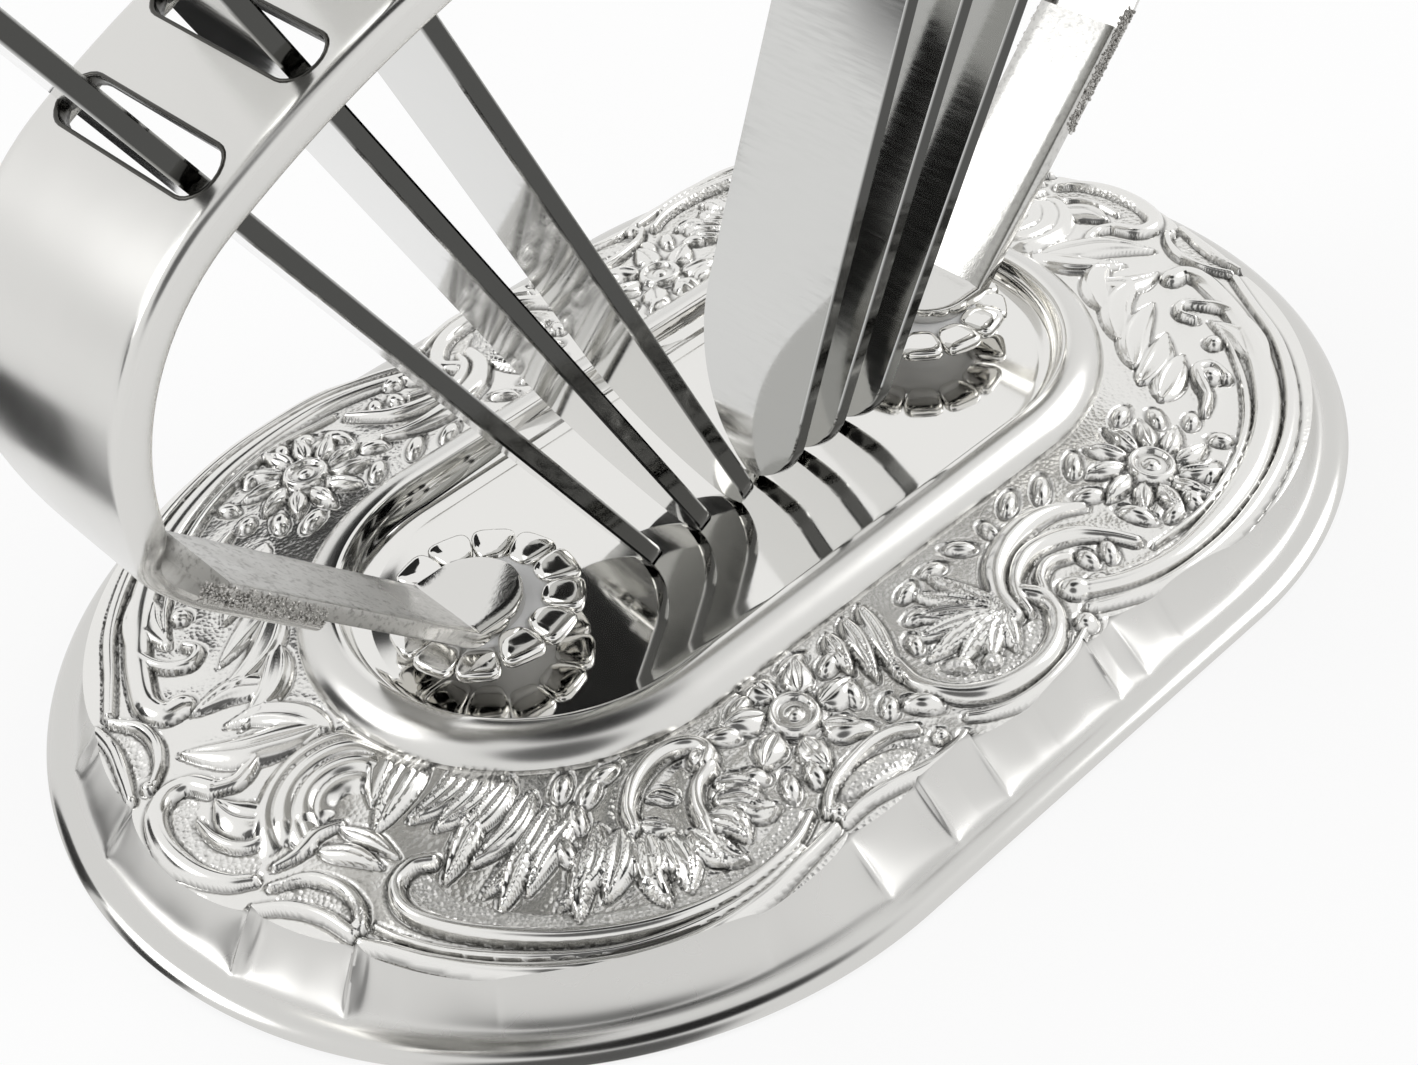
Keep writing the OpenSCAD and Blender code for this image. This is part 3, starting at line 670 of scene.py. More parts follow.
# Each panel of the cove is scooped out, and two scoops meet in a crisp crease.
panel = np.sqrt(1 - (1 - np.clip(from_cusp / 4.0, 0, 1)) ** 2)[None, :]
scoop = 1.25 * panel * np.sin(np.pi * np.clip(u + 0.12 * (1 - u), 0, 1)) ** 0.7
cove_r = edge_r + (LIP_FOOT - edge_r) * u ** 1.15 + 0.7 * np.sin(np.pi * u) - scoop
cove_z = 1.15 + (border_z[-1] - 1.15) * (1 - u) ** 1.2
lip = [(45.3, 1.08), (45.9, 1.02), (46.35, 0.92), (46.75, 0.72), (47.05, 0.48), (LIP_EDGE, 0.2),
       (47.25, 0.05), (46.9, 0.0)]
skirt_r = np.vstack([cove_r] + [np.full((1, AROUND), r) for r, z in lip])
skirt_z = np.vstack([cove_z] + [np.full((1, AROUND), z) for r, z in lip])


def ring_points(rows_r, rows_z, centre, out):
    x = centre[None, :, 0] + rows_r * out[None, :, 0]
    y = centre[None, :, 1] + rows_r * out[None, :, 1]
    return np.stack([x, y, rows_z], -1).reshape(-1, 3)


def keep_fields(made, **fields):
    """Stores a value for every point of a piece, for its material to read."""
    for name, field in fields.items():
        kept = made.data.attributes.new(name, "FLOAT", "POINT")
        kept.data.foreach_set("value", np.ascontiguousarray(field, np.float32).ravel())


# %% Border in four quarters, cove and lip
satin = np.clip(0.35 + 0.6 * stipple, 0, 1)
QUARTER = AROUND // 4
for number, name in enumerate(("right_far", "left_far", "left_near", "right_near")):
    columns = np.arange(number * QUARTER, (number + 1) * QUARTER + 1) % AROUND
    rows = ring_points(border_r[:, columns], border_z[:, columns], centre[columns], out[columns])
    faces = grid_faces(BORDER_ROWS, len(columns))
    made = piece("base_border_" + name, rows, faces, SILVER, "stand", () if number else ["base"], 60)
    keep_fields(made, hollow=hollow[:, columns], satin=satin[:, columns], stipple=stipple[:, columns])
faces = grid_faces(len(skirt_r), AROUND, closed_columns=True)
skirt = piece("base_cove", ring_points(skirt_r, skirt_z, centre, out), faces, SILVER, "stand", sharp=60)
# Painted shade: the cove is dark along its top edge, under the rim of the border, and a little darker all over.
painted_rim_shade = np.clip(1 - np.arange(len(skirt_r)) / 2, 0.22, 1)[:, None] * np.ones((1, AROUND))
matt = np.vstack([np.full((COVE_ROWS, AROUND), 0.75), np.full((len(lip), AROUND), 0.3)])
keep_fields(skirt, satin=matt, hollow=painted_rim_shade)

# %% [markdown]
# The well and the underside are plain sweeps. The floor is one flat face with a flat ring
# round it, so that its mirror stays true; then come the concave wall and the broad rim.
# Underneath, the sheet is hollow and follows the top about a millimetre lower.

# %% Well, bead and underside
wall = [(r, FLOOR) for r in (14.0, 15.0, 16.0)]
wall += [(16.0 + 2.6 * math.cos(a), 9.2 + 2.6 * math.sin(a)) for a in np.radians(np.linspace(276, 315, 8))]
wall += [(18.3, 8.1), (18.5, 8.8), (18.55, 9.25)]
wall += [(19.05 + 0.5 * math.cos(a), 9.3 + 0.5 * math.sin(a)) for a in np.radians(np.linspace(165, 85, 7))]
wall += [(19.6, 9.77), (20.2, 9.62), (20.8, 9.38), (21.4, 9.05), (21.9, 8.65), (22.3, 8.2),
         (22.55, 7.8), (BEAD_R, BEAD_Z)]
FEW = 520
few_centre, few_out = oval(FEW)
wall_r = np.repeat(np.array([[r] for r, z in wall]), FEW, 1)
wall_z = np.repeat(np.array([[z] for r, z in wall]), FEW, 1)
few_faces = grid_faces(len(wall), FEW, closed_columns=True) + [list(range(FEW))]
well = piece("base_well", ring_points(wall_r, wall_z, few_centre, few_out), few_faces, SILVER, "stand")
band = (wall_r > 19.3) * 1.0
keep_fields(well, satin=0.5 * band, hollow=0.16 * band)
few_edge = few_centre + few_out * EDGE_R
few_r, _ = outer_edge(few_edge[:, 0], few_edge[:, 1])
plain = np.ones(FEW)
under = [(46.9 * plain, 0.0), (43.7 * plain, 0.0), (43.2 * plain, 0.4), (few_r * 0.5 + 20.9, 1.5),
         (few_r - 1.0, 2.8), (few_r - 1.6, 3.6), (few_r - 2.6, 4.0), (32.0 * plain, 5.0),
         (21.8 * plain, 6.3), (19.0 * plain, 6.3), (16.6 * plain, 5.6), (15.0 * plain, 5.6)]
under_r = np.stack([r for r, z in under])
under_z = np.stack([np.full(FEW, z) for r, z in under])
few_faces = grid_faces(len(under), FEW, closed_columns=True)
few_faces.append([(len(under) - 1) * FEW + i for i in range(FEW)][::-1])
piece("base_underside", ring_points(under_r, under_z, few_centre, few_out), few_faces, SILVER, "stand")

# %% [markdown]
# ## Rosettes
# Each arm stands on a rosette, a ring of flat pads about a low disc. A ring of equal pads is
# work for Geometry Nodes: a circle gives the places, one pad is set on each, and the tree
# ends with real geometry and a material, because instances would be lost in the export.


# %% Tree of a ring of pads
def shape_tree(name, inputs):
    """A new Geometry Nodes tree, and the sockets of its inputs."""
    tree = bpy.data.node_groups.new(name, "GeometryNodeTree")
    for label, kind in inputs.items():
        tree.interface.new_socket(label, in_out="INPUT", socket_type="NodeSocket" + kind)
    tree.interface.new_socket("Geometry", in_out="OUTPUT", socket_type="NodeSocketGeometry")
    return tree, add(tree, "NodeGroupInput").outputs


def end_tree(tree, instances, metal, smooth=False):
    """Ends a tree with real geometry and a material."""
    made = add(tree, "GeometryNodeRealizeInstances", {"Geometry": instances}).outputs["Geometry"]
    if smooth:
        made = add(tree, "GeometryNodeSetShadeSmooth", {"Geometry": made}).outputs["Geometry"]
    made = add(tree, "GeometryNodeSetMaterial", {"Geometry": made, "Material": metal}).outputs["Geometry"]
    add(tree, "NodeGroupOutput", {"Geometry": made})


def pad_tree():
    tree, given = shape_tree("pad_ring", {"Ring radius": "Float", "Pads": "Int", "Pad size": "Vector",
                                          "Metal": "Material"})
    ring = add(tree, "GeometryNodeMeshCircle", {"Vertices": given["Pads"], "Radius": given["Ring radius"]})
    ball = add(tree, "GeometryNodeMeshUVSphere", {"Segments": 24, "Rings": 16, "Radius": 1.0})
    place = add(tree, "GeometryNodeInputPosition").outputs["Position"]
    # Powers square the ball off: a flat pad that meets its neighbours in a thin line.
    part = add(tree, "ShaderNodeSeparateXYZ", {"Vector": place}).outputs
    squared = {}
    for axis, power in (("X", 0.85), ("Y", 0.5), ("Z", 0.6)):
        square = maths(tree, "POWER", maths(tree, "ABSOLUTE", part[axis]), power)
        squared[axis] = maths(tree, "MULTIPLY", square, maths(tree, "SIGN", part[axis]))
    # A wedge that widens outwards, so that the ring is full at every radius.
    wedge = maths(tree, "MULTIPLY_ADD", squared["X"], 0.28, 1.0)
    squared["Y"] = maths(tree, "MULTIPLY", squared["Y"], wedge)
    shaped = add(tree, "ShaderNodeCombineXYZ", squared).outputs["Vector"]
    pad = add(tree, "GeometryNodeSetPosition", {"Geometry": ball.outputs["Mesh"], "Position": shaped})
    facing = add(tree, "FunctionNodeAlignEulerToVector", {"Vector": place}, axis="X", pivot_axis="Z")
    set_on = add(tree, "GeometryNodeInstanceOnPoints", {
        "Points": ring.outputs["Mesh"], "Instance": pad.outputs["Geometry"],
        "Rotation": facing.outputs["Rotation"], "Scale": given["Pad size"]})
    end_tree(tree, set_on.outputs["Instances"], given["Metal"], smooth=True)
    return tree


def made_by(tree, values):
    """Runs a tree on an empty mesh and returns its result as a plain mesh."""
    holder = placed("holder", bpy.data.meshes.new("holder"))
    modifier = holder.modifiers.new("tree", "NODES")
    modifier.node_group = tree
    for item in tree.interface.items_tree:
        if item.in_out == "INPUT" and item.name in values:
            modifier[item.identifier] = values[item.name]
    graph = bpy.context.evaluated_depsgraph_get()
    mesh = bpy.data.meshes.new_from_object(holder.evaluated_get(graph))
    bpy.data.objects.remove(holder)
    return mesh


# %% Set the rosettes
PAD_RING = pad_tree()
# Place of a rosette and radius of its ring in mm, number of pads, size of a pad in metres.
ROSETTE_X, RING, PADS, PAD_SIZE = 29.0, 7.05, 12, (0.00205, 0.0019, 0.0008)
# The disc and its foot: radius and height, and the points in each of its rings.
DISC = [(5.2, 3.8), (5.7, 3.7), (5.9, 3.3), (5.2, 2.7), (4.2, 1.6), (4.0, 0.6), (4.3, 0.05)]
POINTS = 64
for side, name in ((-1, "rosette_left"), (1, "rosette_right")):
    mesh = made_by(PAD_RING, {"Ring radius": RING * 0.001, "Pads": PADS, "Pad size": PAD_SIZE, "Metal": SILVER})
    shape = bmesh.new()
    shape.from_mesh(mesh)
    bmesh.ops.rotate(shape, verts=shape.verts, matrix=Matrix.Rotation(math.radians(180 / PADS), 3, "Z"))
    pads = list(shape.verts)
    for i, v in enumerate(pads):
        # The pads under the arm are pressed lower. A pad is moved as a whole, by its number.
        number = i // (len(pads) // PADS)
        outward = math.cos(math.radians((number + 0.5) * 360 / PADS)) * side
        v.co.z += 0.0026 if outward > 0.64 else 0.0036
    loops = [[shape.verts.new((r * math.cos(a) * 0.001, r * math.sin(a) * 0.001, z * 0.001))
              for a in np.linspace(0, 2 * math.pi, POINTS, endpoint=False)] for r, z in DISC]
    shape.faces.new(loops[0])
    shape.faces.new(loops[-1][::-1])
    for upper, lower in zip(loops, loops[1:]):
        for i in range(POINTS):
            shape.faces.new((upper[i - 1], lower[i - 1], lower[i], upper[i]))
    for f in shape.faces:
        f.smooth = True
    bmesh.ops.recalc_face_normals(shape, faces=shape.faces)
    bmesh.ops.translate(shape, verts=shape.verts, vec=(side * ROSETTE_X * 0.001, 0, FLOOR * 0.001))
    shape.to_mesh(mesh)
    shape.free()
    mesh.name = name + "_pads"
    rosette = placed(mesh.name, mesh)
    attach(rosette, "stand")
    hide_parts(name)
    # All of the disc below its top and its first edge is painted dark: painted shade under the ring of pads.
    foot = len(mesh.vertices) - POINTS * (len(DISC) - 2)
    keep_fields(rosette, hollow=[1.0 if i >= foot else 0.0 for i in range(len(mesh.vertices))])
    print(rosette.name, "faces:", len(mesh.polygons))

# %% [markdown]
# ## Arms
# An arm is one strip of metal: a round ended tab on the rosette, a bend, and a straight length
# that leans outwards. The strip is lofted: at every place along it there is a section with
# rounded edges. The width grows from the round end of the tab.


# %% Loft the arms
def loft(rows, flip=False):
    """Points and faces of a loft with its two ends closed; flip turns the ends over."""
    n, m = rows.shape[:2]
    first, last = list(range(m)), [(n - 1) * m + i for i in range(m)]
    ends = [first, last[::-1]] if flip else [first[::-1], last]
    return rows.reshape(-1, 3), grid_faces(n, m, closed_columns=True) + ends


def rounded_section(half, thick, soft):
    """Points (across, up) round a strip's section, anticlockwise, its lower face at 0."""
    inner = np.linspace(-1, 1, 9) * (half - soft)
    low = [(v, 0.0) for v in inner]
    high = [(v, thick) for v in inner[::-1]]
    cut = soft * 0.29
    right = [(half - cut, cut), (half, soft), (half, thick - soft), (half - cut, thick - cut)]
    left = [(-v, thick - z) for v, z in right]
    return np.array(low + right + high + left)


# The tab: its height, where it bends up, its length and half the length of the bend.
TAB_Z, FOOT_X, TAB, BEND = FLOOR + 3.8, 33.8, 8.15, 0.9
ARM_HALF, ARM_THICK = 4.75, 1.7
# The hoop: radii of its top arc and shoulders, the angle where they meet, thickness and top.
ARC_R, SHOULDER_R, MEET, THICK, HOOP_TOP = 106.0, 22.7, math.radians(28.3), 1.2, 79.3
ARC_Z = HOOP_TOP - ARC_R
SHOULDER_X = (ARC_R - SHOULDER_R) * math.sin(MEET)
SHOULDER_Z = ARC_Z + (ARC_R - SHOULDER_R) * math.cos(MEET)
# The arm touches the inside of the hoop's shoulder, and that gives its lean.
span = math.hypot(SHOULDER_X - FOOT_X, SHOULDER_Z - TAB_Z)
ARM_LEAN = math.atan2(SHOULDER_X - FOOT_X, SHOULDER_Z - TAB_Z) + math.asin((SHOULDER_R - THICK) / span)
ARM_LENGTH = math.sqrt(span ** 2 - (SHOULDER_R - THICK) ** 2)
print("arm lean in degrees:", round(math.degrees(ARM_LEAN), 1), "length:", round(ARM_LENGTH, 1))


def arm(side, name, wear):
    """One strip, walked from the end of its tab: flat, a tight arc, then straight."""
    rise = math.pi / 2 - ARM_LEAN
    radius = 2 * BEND / rise
    along = np.concatenate([ARM_HALF * (1 - np.cos(np.linspace(0.08, math.pi / 2, 20))),
                            np.linspace(5.0, TAB - BEND, 6)[1:],
                            np.linspace(TAB - BEND, TAB + BEND, 9)[1:],
                            np.linspace(TAB + BEND, TAB + ARM_LENGTH, 40)[1:]])
    rows, worn = [], []
    for s in along:
        turned = np.clip((s - (TAB - BEND)) / (2 * BEND), 0, 1) * rise
        if s <= TAB - BEND:
            x, z = FOOT_X - TAB + s, TAB_Z
        else:
            rest = max(0.0, s - TAB - BEND)
            x = FOOT_X - BEND + radius * math.sin(turned) + rest * math.cos(rise)
            z = TAB_Z + radius * (1 - math.cos(turned)) + rest * math.sin(rise)
        half = ARM_HALF if s > ARM_HALF else math.sqrt(max(0.04, ARM_HALF ** 2 - (ARM_HALF - s) ** 2))
        section = rounded_section(half, ARM_THICK, min(0.3, half * 0.8))
        up = np.array([-math.sin(turned), 0, math.cos(turned)])
        rows.append(np.array([x, 0, z]) + section[:, :1] * np.array([0, 1, 0]) + section[:, 1:] * up)
        worn.append(np.full(len(section), np.interp(s, [TAB, TAB + 1, TAB + 6, TAB + 9], [0, 0.55, 0.6, 1])))
    points, faces = loft(np.array(rows), flip=True)
    points = points * np.array([side, side, 1])
    made = piece(name + "_strip", points, faces, DULL, "stand", [name], 40, closed=True)
    keep_fields(made, worn=np.array(worn) * wear)


# The right arm has kept most of its polish.
arm(-1, "arm_left", 1.0)
arm(1, "arm_right", 0.4)

# %% [markdown]
# ## Hoop
# The hoop is a broad band with its two edges turned down. Its line is a long arc over the top
# and two tight shoulders. The slots are the hard part: a band cut by a boolean shows dents in
# its mirror, so the band is laid out flat as a grid with a patch round each slot, and every
# point of the grid is then put on the curved line.

# %% The hoop's line
TOP_LENGTH = ARC_R * MEET
LAST = math.pi / 2 + ARM_LEAN
ARC_END = TOP_LENGTH + SHOULDER_R * (LAST - MEET)
HOOP_END = ARC_END + 11.0
# Half width of the band, depth of its turned edge, and the heights between which it narrows.
BAND, TURNED, NARROW_TOP, NARROW_END = 11.0, 2.6, 47.0, 33.5


def on_hoop(along, across, inset):
    """A point of the hoop: distance from the top along its outer face, across the band, depth."""
    sign, s = np.sign(along) + (along == 0), np.abs(along)
    top = s <= TOP_LENGTH
    lean = np.where(top, s / ARC_R, np.minimum(MEET + (s - TOP_LENGTH) / SHOULDER_R, LAST))
    radius = np.where(top, ARC_R, SHOULDER_R) - inset
    rest = np.maximum(s - ARC_END, 0)
    x = np.where(top, 0, SHOULDER_X) + radius * np.sin(lean) + rest * np.cos(lean)
    z = np.where(top, ARC_Z, SHOULDER_Z) + radius * np.cos(lean) - rest * np.sin(lean)
    return np.stack([sign * x, across + 0 * x, z], -1)


def half_width(along):
    """The band narrows below a height of 47 mm to the width of the arms."""
    z = on_hoop(along, 0.0, 0.0)[..., 2]
    ease = np.clip((NARROW_TOP - z) / (NARROW_TOP - NARROW_END), 0, 1)
    return BAND - (BAND - ARM_HALF) * (1 - np.cos(np.pi * ease)) / 2


# %% Where the knives stand
# Tips beside the middle, lean in degrees, and half the thickness of a blade's back.
TIP_X, LEAN, BACK_HALF = [1.8, 7.2, 13.2], [23.2, 26.8, 30.8], 0.85


def knife_frame(n):
    """Tip and axes of knife n: 1 to 3 lean left from outside in, 4 to 6 right from inside out."""
    side, place = (-1, 3 - n) if n < 4 else (1, n - 4)
    a = math.radians(LEAN[place])
    tip = np.array([side * TIP_X[place], 0, FLOOR + 0.1 + BACK_HALF * math.sin(a)])
    thick = np.array([math.cos(a), 0, -side * math.sin(a)])
    along = np.array([side * math.sin(a), 0, math.cos(a)])
    return side, tip, thick, along


def meets_hoop(n, offset, inset):
    """Distance along the hoop where a line beside knife n goes through it."""
    side, tip, thick, along = knife_frame(n)
    made = []
    for o in np.atleast_1d(offset):
        p = tip + thick * o
        low, high = 40.0, 100.0
        for _ in range(40):
            t = (low + high) / 2
            q = p + along * t
            x = abs(q[0])
            beyond = math.atan2(x, q[2] - ARC_Z) > MEET
            inside = (math.hypot(x - SHOULDER_X, q[2] - SHOULDER_Z) < SHOULDER_R - inset if beyond
                      else math.hypot(x, q[2] - ARC_Z) < ARC_R - inset)
            low, high = (t, high) if inside else (low, t)
        lean = math.atan2(x, q[2] - ARC_Z)
        if lean <= MEET:
            s = lean * ARC_R
        else:
            s = TOP_LENGTH + (math.atan2(x - SHOULDER_X, q[2] - SHOULDER_Z) - MEET) * SHOULDER_R
        made.append(side * s)
    return np.array(made)


# %% Band and slots
# The flat part of the band and its edge; half width and length of a slot, and its shift from the
# knife; half the length of the patch round it; points across the band and round a slot's end.
CORE, SLOT_HALF, SLOT_LONG, SLOT_IN, PATCH = 9.5, 2.1, 9.1, 0.75, 4.4
RIM, ACROSS, TURN = BAND - CORE, 17, 13
core_v = np.linspace(CORE, -CORE, ACROSS)
parts = []


def inward(n):
    """The slot of knife n lies a little nearer to the top of the hoop than the knife."""
    return SLOT_IN if n > 3 else -SLOT_IN


def put_grid(points, closed=False):
    """Keeps a grid of points with its quads; a closed one ends with its first column."""
    if closed:
        points = np.concatenate([points, points[:, :1]], 1)
    parts.append((points.reshape(-1, 3), grid_faces(points.shape[0], points.shape[1])))


def core_across(along, v):
    return v * (half_width(along) - RIM) / CORE


slots = sorted((float(meets_hoop(n, -inward(n), 0)[0]), n) for n in range(1, 7))
stations, last, lips = [], -HOOP_END, []
for middle, n in slots + [(HOOP_END + PATCH, 0)]:
    begin, end = last, middle - PATCH
    run = np.linspace(begin, end, max(2, int(round((end - begin) / 1.4)) + 1))
    for inset in (0.0, THICK):
        a, v = np.meshgrid(run, core_v, indexing="ij")
        put_grid(on_hoop(a, core_across(a, v), inset))
    stations.append(run)
    if n:
        local = np.linspace(-PATCH, PATCH, TURN)
        stations.append(middle + local)
        end_turn = np.linspace(math.pi, 0, TURN)
        level, sides = np.full(TURN, CORE), np.ones(ACROSS - 2)
        frame_u = np.concatenate([local, sides * PATCH, local[::-1], -sides * PATCH])
        frame_v = np.concatenate([level, core_v[1:-1], -level, core_v[1:-1][::-1]])
        straight = np.linspace(SLOT_LONG - SLOT_HALF, SLOT_HALF - SLOT_LONG, ACROSS)[1:-1]
        hole_u = np.concatenate([SLOT_HALF * np.cos(end_turn), sides * SLOT_HALF,
                                 SLOT_HALF * np.cos(end_turn[::-1]), -sides * SLOT_HALF])
        hole_v = np.concatenate([SLOT_LONG - SLOT_HALF + SLOT_HALF * np.sin(end_turn), straight,
                                 SLOT_HALF - SLOT_LONG - SLOT_HALF * np.sin(end_turn), straight[::-1]])
        rims = []
        for inset in (0.0, THICK):
            hole_s = meets_hoop(n, hole_u - inward(n), inset)
            steps = np.array([0, 0.12, 0.3, 0.6, 1.0])[:, None]
            a = hole_s + (middle + frame_u - hole_s) * steps
            v = hole_v + (frame_v - hole_v) * steps
            ring = on_hoop(a, v, inset)
            put_grid(ring, closed=True)
            rims.append(ring[0])
        put_grid(np.stack([rims[0], rims[0] * 0.5 + rims[1] * 0.5, rims[1]]), closed=True)
        # The punch left a burr round the slot, painted dark as painted shade of the slot's edge: how much wider than
        # the slot, and how deep.
        rows = []
        for wider, inset in [(0.32, 0.03), (0.2, -0.1), (0.04, -0.1), (-0.04, 0.1), (-0.05, THICK * 0.5),
                             (-0.05, THICK), (0.1, THICK + 0.08)]:
            u = hole_u * (1 + wider / SLOT_HALF)
            v = hole_v * (1 + wider / SLOT_LONG)
            rows.append(on_hoop(meets_hoop(n, u - inward(n), max(inset, 0)), v, inset))
        lips.append(np.stack(rows))
    last = middle + PATCH

# %% [markdown]
# The turned edge is a soft bend from the outer face down to a narrow lip. It fades out where
# the band narrows towards the arm, so its depth is worked out at every place along the hoop.

# %% Edges and ends of the hoop
along = np.concatenate([stations[0]] + [s[1:] for s in stations[1:]])
wide = half_width(along)
turned = np.interp(wide, [5.0, 10.5], [THICK, TURNED])
bend = [(BAND - 1.0 + math.sin(a), 1 - math.cos(a)) for a in np.radians(np.linspace(0, 90, 8))]
# Places across the edge and their depth; a negative number stands for a depth of the turned lip.
profile = [(CORE, 0.0)] + bend + [(BAND, -1), (10.85, -2), (10.3, -2), (9.95, -1.6), (9.8, -1),
                                  (9.65, THICK), (CORE, THICK)]
lip_depth = {-1: THICK + (turned - THICK) * 0.8, -1.6: THICK + (turned - THICK) * 0.95, -2: turned}
for side in (1, -1):
    strip = []
    for v, inset in profile:
        reach = np.where(v > CORE, wide - BAND + v, wide - RIM)
        strip.append(on_hoop(along, side * reach, lip_depth.get(inset, np.full(len(along), inset))))
    put_grid(np.stack(strip, 1))
for end in (-HOOP_END, HOOP_END):
    row = np.full(ACROSS, end)
    put_grid(np.stack([on_hoop(row, core_across(row, core_v), i) for i in (0.0, THICK)]))
    w = float(half_width(row[:1])[0])
    for side in (1, -1):
        rim = np.array([on_hoop(row[:1], side * (w - BAND + v if v > CORE else w - RIM), i if i >= 0 else THICK)[0]
                        for v, i in profile])
        count = len(rim)
        parts.append((np.vstack([rim, rim.mean(0)]), [[i, (i + 1) % count, count] for i in range(count)]))
points, faces, start = [], [], 0
for p, f in parts:
    points.append(p)
    faces += [[i + start for i in face] for face in f]
    start += len(p)
hoop = piece("hoop_band", np.vstack(points), faces, SILVER, "stand", ["hoop"], 38, weld=0.004)
keep_fields(hoop, satin=np.full(len(hoop.data.vertices), 0.5), hollow=np.full(len(hoop.data.vertices), 0.14))
lips = np.array(lips)
count, rows, columns = lips.shape[:3]
faces = [grid_faces(rows, columns, closed_rows=True, closed_columns=True, start=k * rows * columns)
         for k in range(count)]
burr = piece("hoop_slot_burrs", lips.reshape(-1, 3), sum(faces, []), SILVER, "stand",
             sharp=80, closed=True)
# Painted shade: the burrs are painted dark all over.
keep_fields(burr, hollow=np.ones(count * rows * columns), satin=np.full(count * rows * columns, 0.5))

# %% [markdown]
# ## Solder seams
# Where an arm lies against the hoop's end the joint was filled with solder, and the seam has
# stayed rough. Small grains of many sizes along the edge of the lap give that glitter; a tree
# scatters them along a line with a fixed seed.


# %% Solder tree
def solder_tree():
    tree, given = shape_tree("solder_seam", {"Start": "Vector", "End": "Vector", "Grains": "Int", "Grain size": "Float",
                                             "Spread": "Float", "Seed": "Int", "Metal": "Material"})

    def spread(v):
        return add(tree, "ShaderNodeVectorMath", {0: (v, v, v), "Scale": given["Spread"]}, operation="SCALE").outputs[0]

    def drawn(low, high):
        """A random vector for each grain."""
        inputs = {"Min": low, "Max": high, "Seed": given["Seed"]}
        return add(tree, "FunctionNodeRandomValue", inputs, data_type="FLOAT_VECTOR").outputs[0]

    line = add(tree, "GeometryNodeMeshLine", {"Count": given["Grains"], "Start Location": given["Start"],
                                              "Offset": given["End"]}, mode="END_POINTS")
    shift = drawn(spread(-1), spread(1))
    moved = add(tree, "GeometryNodeSetPosition", {"Geometry": line.outputs["Mesh"], "Offset": shift})
    grain = add(tree, "GeometryNodeMeshIcoSphere", {"Radius": given["Grain size"], "Subdivisions": 1})
    size = drawn((0.5, 0.5, 0.5), (1.5, 1.2, 1.3))
    spin = drawn((0, 0, 0), (6.28, 6.28, 6.28))
    grains = add(tree, "GeometryNodeInstanceOnPoints", {
        "Points": moved.outputs["Geometry"], "Instance": grain.outputs["Mesh"], "Rotation": spin, "Scale": size})
    end_tree(tree, grains.outputs["Instances"], given["Metal"])
    return tree


# %% Lay the seams
SEAM = solder_tree()
for side in (-1, 1):
    for edge in (-1, 1):
        shape = bmesh.new()
        for row, depth in enumerate(np.linspace(0.9, 2.3, 6)):
            low = on_hoop(np.array([HOOP_END - 0.3]), edge * 4.7, depth)[0] * np.array([side, 1, 1])
            high = on_hoop(np.array([ARC_END - 2.5]), edge * 4.72, depth)[0] * np.array([side, 1, 1])
            grains = made_by(SEAM, {"Start": tuple(low * 0.001), "End": tuple(high * 0.001), "Grains": 70,
                                    "Grain size": 0.00019, "Spread": 0.00014,
                                    "Seed": 7 + side + 3 * edge + 10 * row, "Metal": SOLDER})
            shape.from_mesh(grains)
        mesh = bpy.data.meshes.new(f"solder_{'left' if side < 0 else 'right'}_{'near' if edge < 0 else 'far'}")
        shape.to_mesh(mesh)
        shape.free()
        mesh.materials.append(SOLDER)
        seam = placed(mesh.name, mesh)
        keep_fields(seam, worn=np.ones(len(mesh.vertices)))
        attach(seam, "stand")
        print(mesh.name, "faces:", len(mesh.polygons))

# %% [markdown]
# ## Knives
# A blade is ground as a wedge, thick along its back and thin along its edge, and the edge
# curves up to the back at the tip. The handle is hollow ware: two pressed halves that meet in
# a pointed seam, so its section is a lens. Both are lofted from sections along the knife.


# %% Blade and handle sections
# Half width of a blade, where its tip is across it, its length, and the lengths of the curves of its
# edge and back; how much thinner than the back the edge is on each side.
BLADE_HALF, BLADE_TIP, BLADE_LONG, EDGE_CURVE, BACK_CURVE, THINNER = 7.8, -2.8, 92, 16, 5, 0.65
# Offset of the lens section; where the handle starts, its length, and the share before its round end.
LENS, HANDLE_START, HANDLE_LONG, HANDLE_ROUND = 5, 99, 77.88, 0.8


def blade_points():
    """Points of a blade in its own axes: thickness, width with the back at minus, length."""
    w, depth = BLADE_HALF, BLADE_HALF - BLADE_TIP
    r = (depth ** 2 + EDGE_CURVE ** 2) / (2 * depth)
    z = np.concatenate([0.03 + EDGE_CURVE * np.linspace(0, 1, 34) ** 1.8, np.linspace(18, BLADE_LONG, 12)])
    rows = []
    for h in z:
        back, edge = -w, w
        if h < BACK_CURVE:
            back = -w + BACK_CURVE - math.sqrt(max(0, BACK_CURVE ** 2 - (BACK_CURVE - h) ** 2))
        if h < EDGE_CURVE:
            edge = w - r + math.sqrt(r * r - (EDGE_CURVE - h) ** 2)
        y = back + (edge - back) * np.concatenate([[0.012], np.linspace(0.05, 1, 10)])
        half = BACK_HALF - (y + w) / (2 * w) * THINNER
        soft = min(0.22, (edge - back) * 0.1)
        first = BACK_HALF - (back + w) / (2 * w) * THINNER
        spine = [(-(first - soft), back), (first - soft, back)]
        rows.append(spine + list(zip(half, y)) + list(zip(-half[::-1], y[::-1])))
    return np.array([[(x, y, h) for x, y in row] for row, h in zip(rows, z)])


def lens_rows(stations, count=24):
    """Lens sections: half thickness h gives a half width of sqrt((5 + h)^2 - 25)."""
    rows = []
    for z, h in stations:
        wide = math.sqrt((LENS + h) ** 2 - LENS ** 2)
        a = np.linspace(-1, 1, count + 1)[:-1]
        y = wide * np.sin(a * np.pi / 2)
        x = np.sqrt((LENS + h) ** 2 - y ** 2) - LENS
        rows.append([(p, q, z) for p, q in zip(x, y)] + [(-p, -q, z) for p, q in zip(x, y)])
    return np.array(rows)


